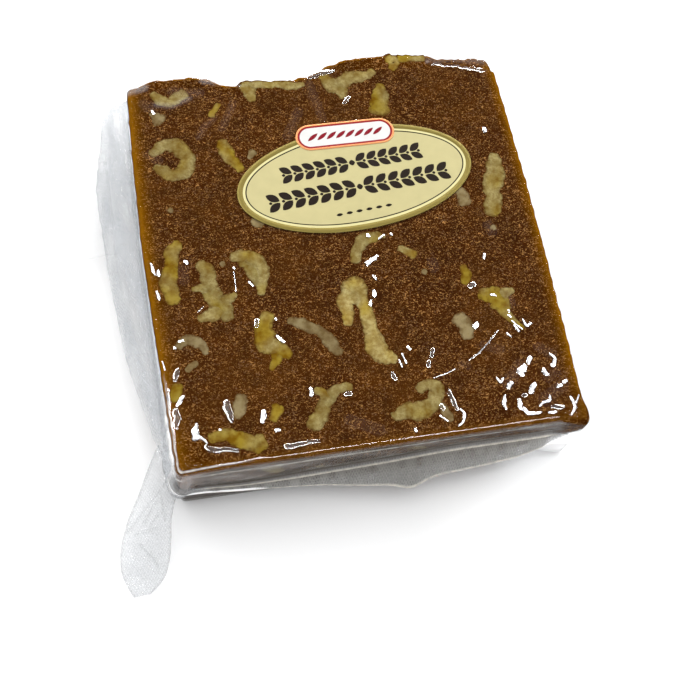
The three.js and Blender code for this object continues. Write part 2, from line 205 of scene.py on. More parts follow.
def noise(tree, coords, size, detail=2.0, roughness=0.5):
    """Noise whose blotches are about size millimetres across."""
    made = add_node(tree, "ShaderNodeTexNoise",
                    {"Vector": coords, "Scale": 1000.0 / size, "Detail": detail, "Roughness": roughness})
    return made.outputs["Fac"]


def ramp(tree, value, low, high, start=0.0, end=1.0):
    """Value taken from between low and high to between start and end, and held there."""
    return add_node(tree, "ShaderNodeMapRange", {"Value": value, "From Min": low, "From Max": high,
                                                 "To Min": start, "To Max": end}).outputs["Result"]


def blend_colour(tree, amount, first, second, mode="MIX"):
    """Two colours mixed by amount."""
    made = add_node(tree, "ShaderNodeMix", {0: amount, 6: first, 7: second},
                    data_type="RGBA", blend_type=mode)
    return made.outputs[2]


def arithmetic(tree, operation, first, *others, clamp=False):
    """One operation worked through a row of numbers from the left, or done on one number."""
    for other in others or (0.0,):
        made = add_node(tree, "ShaderNodeMath", {0: first, 1: other}, operation=operation, use_clamp=clamp)
        first = made.outputs[0]
    return first


def attribute(tree, name):
    """A number stored on the piece's points."""
    return add_node(tree, "ShaderNodeAttribute", attribute_name=name).outputs["Fac"]


def relief(tree, shader, height, strength, distance):
    """Fine relief on a shader from a height, distance metres deep. Returns the bent normal."""
    bump = add_node(tree, "ShaderNodeBump", {"Height": height, "Strength": strength, "Distance": distance})
    tree.links.new(bump.outputs["Normal"], shader.inputs["Normal"])
    return bump.outputs["Normal"]


def slab_top(x, y):
    """Height of the halva under the film: level, with low swells of a finger's width. Past a line
    across its far right corner a crust has broken off and left a ledge, and both near corners are
    squeezed down."""
    from_x, from_y, slope, depth = LEDGE
    over = share_past(y - from_y + slope * (x - from_x) - 0.3 * ripple(x, y, 5, 16), 0, 1.1)
    fall = depth * share_past(x, from_x, 4) * eased(over)
    for depth, start_x, start_y, span in CORNER_DROOPS:
        side = np.sign(start_x)
        past = share_past(side * x, side * start_x, span) * share_past(-y, -start_y, span)
        fall = fall + depth * past**1.5
    return SLAB_SIZE[2] - UNDER_FILM + 0.07 * ripple(x, y, 24, 11) + 0.015 * ripple(x, y, 7, 12) - fall


def wall_relief(edge, level):
    """How far the wall stands out at a height: faint waves where it is cut, lumps where it is broken."""
    broken = share_past(edge[:, 1], 52, 5)
    lumps = ripple(edge[:, 0], level * 1.3, 8, 14) + 0.5 * ripple(edge[:, 0], level, 3, 15)
    ruled = 0.03 * ripple((edge[:, 0] + edge[:, 1]) * 0.05, level * 1.6, 5, 13)
    return ruled + 0.8 * broken * (lumps - 0.6)


def slab_section(place, edge):
    """Rows down the slab: a quarter circle at the top edge, a straight wall and a rounded foot."""
    height = slab_top(edge[:, 0], edge[:, 1])
    flat = np.ones(len(place))
    rows = []
    for angle in np.radians((22, 45, 68, 90)):
        rows.append((flat * (TOP_RADIUS * np.sin(angle) - TOP_RADIUS - UNDER_WALL),
                     height - TOP_RADIUS + TOP_RADIUS * np.cos(angle)))
    for share in np.linspace(0.08, 1, 12):
        level = (height - TOP_RADIUS) * (1 - share) + FOOT_RADIUS * share
        rows.append((wall_relief(edge, level) * np.sin(np.pi * share) ** 0.4 - UNDER_WALL, level))
    rows.append((flat * (-0.5 - UNDER_WALL), flat * 0.45))
    rows.append((flat * (-FOOT_RADIUS - UNDER_WALL), flat * UNDER_FILM))
    return rows


def halva_material():
    """Dark caramel with tan sesame grain, and a painted golden glow where light comes through the cut edges.
    """
    material, tree, shader, coords = new_material(
        "caramel_halva", Roughness=0.5, IOR=1.45, Specular_IOR_Level=0.0,
        Subsurface_Weight=0.1, Subsurface_Scale=0.001)
    shader.inputs["Subsurface Radius"].default_value = (1.0, 0.35, 0.1)
    combed = add_node(tree, "ShaderNodeMapping", {"Vector": coords, "Scale": (0.8, 1.1, 1.0)})
    grain = add_node(tree, "ShaderNodeTexNoise", {"Vector": combed.outputs["Vector"], "Scale": 1700.0,
                                                  "Detail": 2.0, "Roughness": 0.55, "Distortion": 1.8})
    grain = ramp(tree, grain.outputs["Fac"], 0.568, 0.655)
    body = blend_colour(tree, grain, (0.038, 0.0094, 0.0002, 1), (0.370, 0.184, 0.056, 1))
    broad = ramp(tree, noise(tree, coords, 19, 3.0), 0.36, 0.66)
    body = blend_colour(tree, arithmetic(tree, "MULTIPLY", broad, 0.35), body, (0.085, 0.0285, 0.0020, 1))
    mottle = ramp(tree, noise(tree, coords, 6, 4.0, 0.65), 0.36, 0.68, 0.80, 1.24)
    body = blend_colour(tree, 1.0, body, mottle, "MULTIPLY")
    cells = add_node(tree, "ShaderNodeTexVoronoi", {"Vector": coords, "Scale": 1250.0, "Randomness": 0.9})
    specks = ramp(tree, cells.outputs["Distance"], 0.40, 0.16)
    sparse = ramp(tree, noise(tree, coords, 2.6, 2.0), 0.42, 0.66, 0.05, 0.7)
    specks = arithmetic(tree, "MULTIPLY", specks, sparse)
    body = blend_colour(tree, specks, body, (0.210, 0.110, 0.050, 1))
    # Painted glow: the rim share turns the colour golden where light comes through the cut edges.
    warm = ramp(tree, noise(tree, coords, 2.5, 3.0), 0.25, 0.75, 0.6, 1.0)
    glow = arithmetic(tree, "MULTIPLY", ramp(tree, attribute(tree, "rim"), 0.05, 1.0), warm)
    body = blend_colour(tree, glow, body, (0.196, 0.077, 0.0012, 1))
    tree.links.new(body, shader.inputs["Base Color"])
    relief(tree, shader, arithmetic(tree, "ADD", noise(tree, coords, 0.8, 3.0), specks), 0.35, 0.00025)
    return material


def let_through(depth, start, reach):
    """Light that comes through: all of it down to a depth, then falling by a factor e per reach."""
    return np.exp(-np.maximum(depth - start, 0) / reach)


SLAB_CELLS = (150, 160)
slab_points, slab_faces, slab_rows = wrapped_body(SLAB_CELLS, TOP_RADIUS + UNDER_WALL, slab_top, slab_section)
slab_x, slab_y, slab_z = slab_points.T
# The rim share is a painted glow of light through the cut edges: down from the top of the walls, weaker on
# the near wall, and in from the top's side and near edges; less at the near right corner.
from_side = SLAB_SIZE[0] / 2 + bow(slab_x < 0, slab_y) - np.abs(slab_x)
from_front = slab_y + SLAB_SIZE[1] / 2
on_walls = 0.95 * let_through(SLAB_SIZE[2] - slab_z, 1.2, 2.0) * np.clip(0.3 + from_front / 4, 0, 1) + 0.05
on_top = np.maximum(let_through(from_side, 0.8, np.where(slab_x < 0, 1.8, 1.35)),
                    0.6 * let_through(from_front, 0.8, 1.0))
rim = np.where(slab_rows > 0, on_walls, on_top)
rim *= 1 - 0.6 * share_past(slab_x, 42, 7) * share_past(-from_front, -12, 7)
halva_slab = make_piece("halva_slab", slab_points, slab_faces, halva_material(), {"rim": rim})
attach(halva_slab, "root")
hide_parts("pouch")


# ---- The walnut pieces --------------------------------------------------------------------------
# Broken walnut kernels stirred into the halva. The ones that meet a face show as pale lobes and
# crooks, cream where they are dry and amber where the caramel has soaked in.
CREAM, AMBER, DULL, PALE = 0, 1, 2, 3
# The share of a piece's half width that shows in the face.
NUT_SHOWING = 0.68
# Each piece is a stroke of round blobs: kind, then (x, y, radius) along it on the top face.
TOP_NUTS = (
    (CREAM, (-46.9, 54.7, 1.2), (-45.2, 52.7, 1.7), (-43.0, 51.8, 1.6), (-40.7, 52.6, 2.0),
     (-38.6, 54.1, 1.7)),
    (DULL, (-48.0, 48.2, 1.0), (-46.1, 46.2, 2.6)),
    (CREAM, (-49.0, 35.2, 1.3), (-46.8, 37.2, 1.9), (-43.8, 37.4, 2.3), (-41.0, 35.6, 2.5),
     (-40.0, 32.1, 2.4), (-41.1, 28.8, 2.3), (-43.9, 27.6, 2.1), (-46.5, 29.1, 1.9), (-48.5, 30.6, 1.3)),
    (AMBER, (-29.2, 49.6, 0.8), (-31.5, 46.3, 1.2)),
    (AMBER, (-29.8, 36.6, 1.9), (-28.9, 33.4, 2.2), (-27.3, 30.2, 1.9), (-25.8, 27.8, 1.3)),
    (DULL, (-21.6, 32.7, 1.6), (-23.0, 31.2, 0.8)),
    (CREAM, (-21.3, 55.0, 1.4), (-19.7, 53.1, 2.0), (-19.5, 50.7, 1.4)),
    (CREAM, (-20.7, 55.5, 1.4), (-16.1, 55.2, 1.2), (-11.5, 54.8, 1.2), (-7.5, 54.0, 1.5),
     (-4.1, 54.1, 0.9)),
    (CREAM, (2.4, 56.1, 1.6), (4.3, 53.3, 2.5), (6.4, 51.8, 2.6), (6.8, 49.3, 1.4)),
    (CREAM, (6.9, 53.6, 2.5), (10.8, 55.3, 2.3), (14.1, 55.5, 1.8), (17.1, 56.5, 1.3)),
    (AMBER, (18.3, 51.5, 1.4), (17.9, 47.8, 2.8), (16.6, 43.8, 3.3)),
    (AMBER, (23.0, 60.9, 1.5), (24.3, 59.3, 2.0), (23.3, 57.3, 1.2)),
    (AMBER, (26.3, 60.5, 1.3), (29.5, 60.5, 1.2), (33.1, 60.0, 1.1)),
    (CREAM, (46.9, 24.3, 1.5), (46.5, 21.2, 2.7), (45.4, 17.5, 3.1), (43.9, 13.8, 2.7),
     (43.4, 10.2, 2.5), (42.3, 6.8, 2.6)),
    (DULL, (34.5, 13.9, 2.2), (35.0, 10.4, 2.3)),
    (CREAM, (10.0, 2.2, 0.7), (7.8, 2.6, 1.5), (4.0, 1.4, 2.1), (1.8, -1.3, 1.6), (1.0, -4.1, 1.4)),
    (DULL, (-24.5, 10.9, 1.5), (-22.8, 9.8, 1.5)),
    (AMBER, (-45.6, 6.4, 1.5), (-47.2, 4.2, 2.1), (-48.0, 0.2, 2.1), (-49.1, -3.7, 2.4),
     (-49.0, -7.3, 2.5), (-48.6, -10.0, 1.9)),
    (CREAM, (-40.3, -0.5, 1.7), (-38.6, -3.4, 2.2), (-38.9, -6.9, 2.4), (-38.0, -10.3, 2.5),
     (-36.3, -12.9, 2.6), (-35.3, -16.3, 1.7)),
    (CREAM, (-36.9, -14.1, 2.4), (-39.6, -15.4, 1.9), (-42.1, -16.0, 1.2)),
    (CREAM, (-43.0, -7.4, 0.8), (-41.0, -7.4, 1.2), (-39.0, -8.3, 1.6)),
    (CREAM, (-36.2, -12.0, 2.0), (-33.6, -11.0, 1.4), (-32.6, -10.2, 0.7)),
    (CREAM, (-31.3, 0.9, 1.6), (-28.2, 0.2, 2.4), (-25.5, -1.5, 2.7), (-24.9, -4.6, 2.2),
     (-25.2, -7.8, 1.8), (-25.7, -10.5, 1.1)),
    (CREAM, (-28.8, -0.8, 1.9), (-27.0, -3.7, 2.0), (-26.0, -7.4, 1.4)),
    (DULL, (-34.7, -0.8, 1.2), (-34.4, -1.2, 0.9)),
    (DULL, (-46.4, 16.9, 1.1), (-46.1, 16.6, 0.9)),
    (PALE, (-1.2, -12.0, 3.7), (0.5, -16.1, 2.2), (1.0, -20.3, 1.9), (1.4, -24.4, 2.2),
     (1.6, -28.7, 2.8), (3.1, -32.4, 2.7), (5.7, -33.6, 1.5)),
    (PALE, (-1.8, -13.9, 3.4), (-3.9, -16.2, 2.3), (-4.0, -19.6, 1.8), (-4.4, -22.2, 1.2)),
    (DULL, (-19.3, -19.5, 1.4), (-16.9, -20.6, 1.9), (-14.5, -22.0, 2.0), (-11.7, -24.1, 1.9),
     (-9.5, -27.6, 2.2), (-8.3, -30.0, 1.7)),
    (AMBER, (-24.9, -17.5, 1.9), (-26.5, -20.7, 2.7), (-26.5, -24.6, 2.9), (-23.8, -27.1, 2.7),
     (-21.3, -28.7, 1.5)),
    (AMBER, (-24.0, -29.0, 1.9), (-26.1, -32.1, 0.8)),
    (DULL, (-48.6, -22.9, 1.4), (-47.4, -21.9, 1.7), (-45.1, -21.7, 1.8), (-43.1, -23.1, 1.8),
     (-42.1, -25.6, 1.1)),
    (DULL, (-44.9, -28.1, 1.0), (-47.3, -29.7, 1.0)),
    (AMBER, (-50.4, -33.9, 1.5), (-51.2, -36.9, 1.5)),
    (DULL, (-35.1, -39.0, 2.0), (-35.5, -41.1, 2.1), (-36.3, -43.5, 1.7)),
    (AMBER, (-26.2, -43.2, 1.8), (-27.6, -45.5, 1.3)),
    (CREAM, (-17.8, -48.7, 2.0), (-15.7, -46.1, 2.2), (-13.3, -42.6, 1.7), (-10.5, -40.0, 1.5),
     (-7.1, -39.9, 1.1)),
    (CREAM, (-13.0, -42.4, 1.6), (-14.2, -40.6, 1.3), (-15.7, -39.7, 1.0)),
    (AMBER, (-43.3, -48.2, 1.6), (-40.0, -48.2, 1.8), (-36.7, -49.7, 2.2), (-33.7, -51.2, 2.5),
     (-31.4, -51.3, 2.0), (-32.9, -52.4, 1.9)),
    (CREAM, (3.1, -49.3, 1.3), (5.5, -48.5, 2.2), (8.6, -48.7, 2.5), (11.9, -48.1, 2.4),
     (14.5, -46.0, 2.1), (15.1, -43.2, 2.0), (13.2, -41.9, 1.6), (10.9, -42.7, 1.4)),
    (DULL, (15.7, -48.3, 1.5), (16.4, -50.5, 1.6), (17.0, -52.1, 1.2)),
    (AMBER, (33.8, -18.4, 2.2), (36.8, -19.8, 3.2), (38.0, -22.2, 2.9), (38.7, -25.2, 1.6),
     (40.7, -27.8, 1.0), (42.3, -29.5, 0.6)),
    (CREAM, (39.3, -19.1, 1.7), (41.8, -18.2, 1.0)),
    (DULL, (25.7, -24.6, 2.6), (26.8, -27.2, 2.8), (26.5, -30.0, 1.9)),
    (AMBER, (30.1, -9.8, 1.2), (30.1, -12.7, 1.6), (29.3, -14.4, 1.0)),
    (CREAM, (14.0, -2.0, 1.1), (15.4, -3.1, 1.3), (17.0, -4.2, 1.4)),
    (DULL, (41.2, 1.4, 1.3), (41.4, 1.1, 1.0)),
    (DULL, (18.9, -9.7, 1.2), (19.2, -10.1, 0.9)),
)
# How far each kind stands out of the face, and how light it is.
NUT_PROUD = {CREAM: 0.13, AMBER: 0.11, DULL: 0.07, PALE: 0.13}
NUT_LIGHT = {CREAM: 0.80, AMBER: 0.82, DULL: 0.88, PALE: 1.04}
# Pieces that show in the walls and the underside: face, then how many and the seed that lays them.
HIDDEN_NUTS = (("near", 5, 71), ("far", 9, 72), ("left", 8, 73), ("right", 8, 74), ("base", 26, 75))


def catmull_rom(a, b, c, d, t):
    """The smooth curve from b to c at shares t of the way, with a before them and d after."""
    return (2 * b + (c - a) * t + (2 * a - 5 * b + 4 * c - d) * t**2 + (3 * b - a - 3 * c + d) * t**3) / 2


def through(points, share):
    """A Catmull-Rom curve through points, for shares from 0 to 1 of the way along."""
    points = np.asarray(points, float)
    last = len(points) - 1
    spot = np.clip(share * last, 0, last - 1e-9)
    first = np.floor(spot).astype(int)
    around = (points[np.clip(first + step, 0, last)] for step in (-1, 0, 1, 2))
    return catmull_rom(*around, (spot - first)[:, None])


def spine(stroke, along, showing, least):
    """The middle line of a stroke of blobs, in steps that close up towards its ends and go on past
    them by the radius there. Returns its points and their radius, the normals across it, how far
    each point is past an end, and how far along. showing is the share of the radius that shows, and
    least the shortest length that the ends are measured by."""
    stroke = np.asarray(stroke, float)
    share = (1 - np.cos(np.linspace(0, np.pi, along))) / 2
    reach = np.linalg.norm(np.diff(stroke[:, :2], axis=0), axis=1).sum()
    caps = stroke[[0, -1], 2] / showing / max(reach, least)
    spot = share * (1 + caps.sum()) - caps[0]
    line = through(stroke, np.clip(spot, 0, 1))
    held = np.clip(spot, 0.02, 0.98)
    heading = through(stroke[:, :2], held + 0.02) - through(stroke[:, :2], held - 0.02)
    heading /= np.maximum(np.linalg.norm(heading, axis=1), 1e-9)[:, None]
    beyond = (np.maximum(-spot, 0) + np.maximum(spot - 1, 0)) * reach
    line[:, :2] += heading * (np.sign(spot - 0.5) * beyond)[:, None]
    return line, np.stack([-heading[:, 1], heading[:, 0]], -1), beyond, spot * reach


def nut_lobe(stroke, kind, seed, along=44, around=22):
    """One walnut piece lying in a face: a flattened tube along the stroke with round ends, whose
    outline wanders by added sines. Returns (along the face, across it, out of it) and faces."""
    draw = np.random.default_rng(seed)
    line, normal, beyond, run = spine(stroke, along, NUT_SHOWING, 0.1)
    cap = np.clip(1 - (beyond * NUT_SHOWING / line[:, 2]) ** 2.2, 0, 1) ** (1 / 2.2)
    radius = line[:, 2] * cap / NUT_SHOWING
    angle = np.linspace(0, 2 * np.pi, around, endpoint=False)
    side = np.sign(np.cos(angle)) * np.abs(np.cos(angle)) ** (2 / 3)
    rise = np.sign(np.sin(angle)) * np.abs(np.sin(angle)) ** (2 / 3)
    phase = draw.uniform(0, 6.3, 8)
    sines = ((0.10, 7.3, 1.3), (0.08, 4.1, -1.9), (0.06, 2.3, 2.4), (0.03, 1.3, -3.0))
    wander = sum(size * np.sin(run[:, None] * FULL_TURN / length + phase[i] + turn * side[None])
                 for i, (size, length, turn) in enumerate(sines))
    wide = radius[:, None] * (1 + wander)
    plan = line[:, None, :2] + normal[:, None, :] * (wide * side[None])[..., None]
    height = NUT_PROUD[kind] - 1 + cap[:, None] * rise[None]
    points = np.concatenate([plan, height[..., None]], -1).reshape(-1, 3)
    number = np.arange(along * around).reshape(along, around)
    turned = np.roll(number, -1, 1)
    faces = np.stack([number[:-1], turned[:-1], turned[1:], number[1:]], -1).reshape(-1, 4).tolist()
    ends = [tuple(number[0, ::-1].tolist()), tuple(number[-1].tolist())]
    return points, faces + ends


def onto_face(points, face):
    """Points along, across and out of a face of the slab, laid onto it."""
    a, b, out = points.T
    if face == "top":
        return np.stack([a, b, slab_top(a, b) + out], -1)
    if face == "base":
        return np.stack([a, b, UNDER_FILM + 0.1 - out], -1)
    bulge = wall_relief(np.stack([a, np.full(len(a), 60.0 if face == "far" else 0.0)], -1), b)
    out = out + bulge - UNDER_WALL
    if face in ("near", "far"):
        side = -1 if face == "near" else 1
        wall = slab_plan(a / (SLAB_SIZE[0] / 2), np.full(len(a), side), 0.0)[1]
        return np.stack([a, wall + side * out, b], -1)
    side = -1 if face == "left" else 1
    wall = slab_plan(np.full(len(a), side), a / (SLAB_SIZE[1] / 2), 0.0)[0]
    return np.stack([wall + side * out, a, b], -1)


def random_strokes(face, count, seed):
    """Crooked strokes of two to four blobs, laid at random over a face, clear of its edges."""
    draw = np.random.default_rng(seed)
    tall = (-48, 48) if face == "base" else (5, 23)
    for _ in range(count):
        spot = np.array([draw.uniform(-46, 46), draw.uniform(*tall)])
        heading, size = draw.uniform(0, 6.3), draw.uniform(1.0, 2.6)
        stroke = []
        for _ in range(draw.integers(2, 5)):
            stroke.append((*spot, size * draw.uniform(0.6, 1.1)))
            heading += draw.normal(0, 0.7)
            spot = spot + size * 1.7 * np.array([np.cos(heading), np.sin(heading)])
            spot[1] = np.clip(spot[1], *tall)
        yield draw.choice([CREAM, AMBER, DULL], p=[0.5, 0.25, 0.25]), stroke


def walnut_material():
    """Walnut flesh: cream with ochre veins, amber where soaked, brown where the halva laps over it."""
    material, tree, shader, coords = new_material(
        "walnut_flesh", Roughness=0.5, IOR=1.45, Specular_IOR_Level=0.0,
        Subsurface_Weight=0.15, Subsurface_Scale=0.001)
    shader.inputs["Subsurface Radius"].default_value = (1.0, 0.6, 0.2)
    patches = ramp(tree, noise(tree, coords, 2.4, 3.0), 0.33, 0.62)
    flesh = blend_colour(tree, patches, (0.235, 0.165, 0.045, 1), (0.420, 0.345, 0.140, 1))
    veins = ramp(tree, noise(tree, coords, 1.0, 4.0, 0.7), 0.58, 0.40)
    flesh = blend_colour(tree, arithmetic(tree, "MULTIPLY", veins, 0.5), flesh, (0.190, 0.105, 0.020, 1))
    soaked = blend_colour(tree, patches, (0.185, 0.090, 0.0025, 1), (0.335, 0.235, 0.025, 1))
    flesh = blend_colour(tree, attribute(tree, "amber"), flesh, soaked)
    veiled = blend_colour(tree, patches, (0.160, 0.105, 0.040, 1), (0.290, 0.225, 0.110, 1))
    flesh = blend_colour(tree, attribute(tree, "dull"), flesh, veiled)
    flesh = blend_colour(tree, 1.0, flesh, attribute(tree, "light"), "MULTIPLY")
    ragged = ramp(tree, noise(tree, coords, 0.9, 3.0), 0.3, 0.7, -0.35, 0.35)
    shown = arithmetic(tree, "ADD", attribute(tree, "proud"), ragged)
    flesh = blend_colour(tree, ramp(tree, shown, 0.75, -0.1), flesh, (0.070, 0.0260, 0.0035, 1))
    tree.links.new(flesh, shader.inputs["Base Color"])
    relief(tree, shader, noise(tree, coords, 1.1, 4.0, 0.6), 0.4, 0.0003)
    return material


nut_points, nut_faces, nut_marks = [], [], {"amber": [], "dull": [], "proud": [], "light": []}
nut_count = 0
strokes = [("top", kind, stroke, (44, 22)) for kind, *stroke in TOP_NUTS]
strokes += [(face, kind, stroke, (20, 14)) for face, count, seed in HIDDEN_NUTS
            for kind, stroke in random_strokes(face, count, seed)]
for index, (face, kind, stroke, (along, around)) in enumerate(strokes):
    local, faces = nut_lobe(stroke, kind, 100 + index, along, around)
    nut_marks["proud"].append(local[:, 2] / NUT_PROUD[kind])
    points = onto_face(local, face)
    corners = points[np.array(faces[:-2])] - points.mean(0)
    volume = np.einsum("ij,ij->i", corners[:, 0], np.cross(corners[:, 1], corners[:, 2])).sum()
    nut_points.append(points)
    outside_out = 1 if volume > 0 else -1
    nut_faces += [tuple(corner + nut_count for corner in one[::outside_out]) for one in faces]
    soak = ripple(points[:, 0], points[:, 1] + points[:, 2], 7, 40 + index)
    nut_marks["amber"].append(np.clip((0.75 if kind == AMBER else 0.1) + 0.6 * soak, 0, 1))
    nut_marks["dull"].append(np.full(len(points), 1.0 if kind == DULL else 0.0))
    nut_marks["light"].append(np.full(len(points), NUT_LIGHT[kind] * (1 + 0.06 * np.sin(index * 2.4))))
    nut_count += len(points)
walnut_pieces = make_piece("walnut_pieces", np.concatenate(nut_points), nut_faces, walnut_material(),
                           {title: np.concatenate(values) for title, values in nut_marks.items()})
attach(walnut_pieces, "root")
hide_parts("pouch")


# ---- The film pouch -------------------------------------------------------------------------
# Two sheets of clear embossed vacuum film, drawn tight over the slab. They meet in a loose skirt
# half-way up the walls, where they are pressed together and wave.
SKIRT_THICKNESS = 0.34
FILM_EDGE_RADIUS = 1.25
# The skirt at 24 even steps round the pouch, from the near left corner along the near side: how
# wide it is, how high it leaves the wall, and how far its lip drops.
SKIRT_WIDTH = (1.6, 1.7, 2.9, 5.4, 5.1, 4.1, 1.3, 4.4, 5.4, 5.2, 5.0, 5.4, 5.8,
               8.0, 7.6, 8.6, 9.0, 8.2, 8.8, 11.4, 10.6, 9.6, 8.2, 4.9)
SEAL_HEIGHT = (13.8, 11.2, 12.8, 14.6, 17.4, 17.6, 17.8, 15.0, 13.4, 13.6, 12.8, 13.4, 12.8,
               13.6, 12.6, 13.2, 12.4, 13.4, 13.0, 12.6, 13.4, 12.8, 12.2, 11.6)
SKIRT_DROP = (1.2, 1.4, 3.4, 5.3, 7.0, 5.6, 4.2, 3.0, 2.8, 3.0, 2.6, 3.0, 3.2,
              2.6, 4.0, 2.8, 4.0, 3.0, 3.4, 4.2, 3.0, 4.0, 2.6, 1.6)
# The near side of the skirt runs out to a point: x, how far, half width.
SKIRT_POINT = (7.5, 1.9, 4.5)
STICKER_MIDDLE, STICKER_HALF, STICKER_TURN = (5.9, 21.5), (34.0, 16.6), np.radians(5.9)
PLAQUE_MIDDLE, PLAQUE_HALF, PLAQUE_TURN = (5.2, 35.8), (14.3, 4.25), np.radians(1.2)
STICKER_BED = 0.10
# Where air is left under the film it looks paler: amount, half width, then points along the streak.
UNBONDED = (
    (0.6, 1.0, (-46.5, 51.0), (-42.0, 50.2), (-37.0, 52.5)),
    (1.6, 1.6, (-54.0, 56.5), (-49.5, 57.5)),
    (1.6, 1.6, (-32.0, 58.5), (-26.0, 57.8), (-22.0, 56.5)),
    (0.5, 1.3, (35.0, 60.3), (42.0, 60.6), (52.0, 58.5)),
    (1.4, 0.4, (34.0, 58.8), (41.0, 57.2), (52.0, 54.4)),
)
# And where it only touches by the tips of its weave it shows as dots: the same figures.
DOTTED = (
    (0.8, 0.9, (-35.9, 39.2), (-34.1, 42.4), (-31.2, 44.8)),
    (0.7, 0.9, (-29.1, 41.6), (-26.9, 45.7), (-24.9, 49.6)),
    (0.6, 1.2, (-50.0, 51.8), (-47.7, 49.8)),
    (0.5, 1.2, (-49.8, 35.1), (-47.9, 32.6)),
    (0.9, 1.1, (-41.5, 55.4), (-38.3, 54.0), (-33.8, 54.0)),
    (0.6, 1.2, (-11.1, 37.0), (-6.9, 44.8)),
    (0.6, 1.0, (-2.2, 54.1), (-1.2, 47.7), (-0.4, 42.1)),
    (0.6, 1.1, (44.9, -35.6), (48.2, -38.1)),
    (0.7, 1.4, (38.7, -40.0), (34.2, -44.8)),
    (0.7, 1.4, (48.9, -46.8), (42.7, -50.5)),
    (0.6, 1.1, (47.9, -43.3), (45.3, -44.6)),
    (0.5, 1.1, (30.4, -33.1), (34.4, -35.1)),
    (0.7, 1.2, (39.9, 2.2), (40.5, -0.1)),
    (0.6, 1.0, (40.2, -19.3), (40.8, -22.4)),
    (0.5, 0.8, (23.3, -37.6), (24.8, -38.4)),
    (0.4, 1.3, (-8.7, -48.7), (-1.6, -52.4)),
    (0.5, 1.1, (-45.1, -1.5), (-45.2, -4.7)),
    (0.5, 1.2, (21.7, -7.2), (21.8, -9.1)),
)


def round_the_ring(figures, place):
    """Figures given at even steps round the pouch, joined by a Catmull-Rom curve that closes."""
    figures = np.asarray(figures, float)
    first = np.floor(place).astype(int)
    around = (figures[(first + step) % len(figures)] for step in (-1, 0, 1, 2))
    return catmull_rom(*around, place - first)


def off_stroke(x, y, stroke):
    """Distance from the side of a stroke of blobs, negative inside it: the least, over its legs, of
    the distance to the leg less the radius there."""
    nearest = np.full(np.shape(x), 1e9)
    for (ax, ay, ar), (bx, by, br) in zip(stroke[:-1], stroke[1:]):
        leg = max((bx - ax) ** 2 + (by - ay) ** 2, 1e-6)
        t = np.clip(((x - ax) * (bx - ax) + (y - ay) * (by - ay)) / leg, 0, 1)
        gap = np.hypot(x - ax - t * (bx - ax), y - ay - t * (by - ay)) - (ar + t * (br - ar))
        nearest = np.minimum(nearest, gap)
    return nearest


def sticker_share(x, y):
    """1 under the sticker and its plaque, 0 a millimetre past their edges."""
    def turned(middle, turn):
        dx, dy = x - middle[0], y - middle[1]
        return dx * np.cos(turn) + dy * np.sin(turn), dy * np.cos(turn) - dx * np.sin(turn)
    along, across = turned(STICKER_MIDDLE, STICKER_TURN)
    oval = (np.hypot(along / STICKER_HALF[0], across / STICKER_HALF[1]) - 1) * STICKER_HALF[1]
    along, across = turned(PLAQUE_MIDDLE, PLAQUE_TURN)
    straight = PLAQUE_HALF[0] - PLAQUE_HALF[1]
    bar = np.hypot(np.maximum(np.abs(along) - straight, 0), across) - PLAQUE_HALF[1]
    return np.clip(1 - np.minimum(oval, bar) / 1.0, 0, 1)


def film_top(x, y):
    """Height of the film: the slab's level, raised over each walnut piece and under the sticker."""
    lift = np.zeros(np.shape(x))
    for kind, *stroke in TOP_NUTS:
        share = np.clip(1 - (off_stroke(x, y, stroke) + 0.3) / 3.0, 0, 1)
        lift = np.maximum(lift, (NUT_PROUD[kind] + 0.02) * eased(share))
    bed = eased(sticker_share(x, y))
    return slab_top(x, y) + UNDER_FILM + lift * (1 - bed) + STICKER_BED * bed


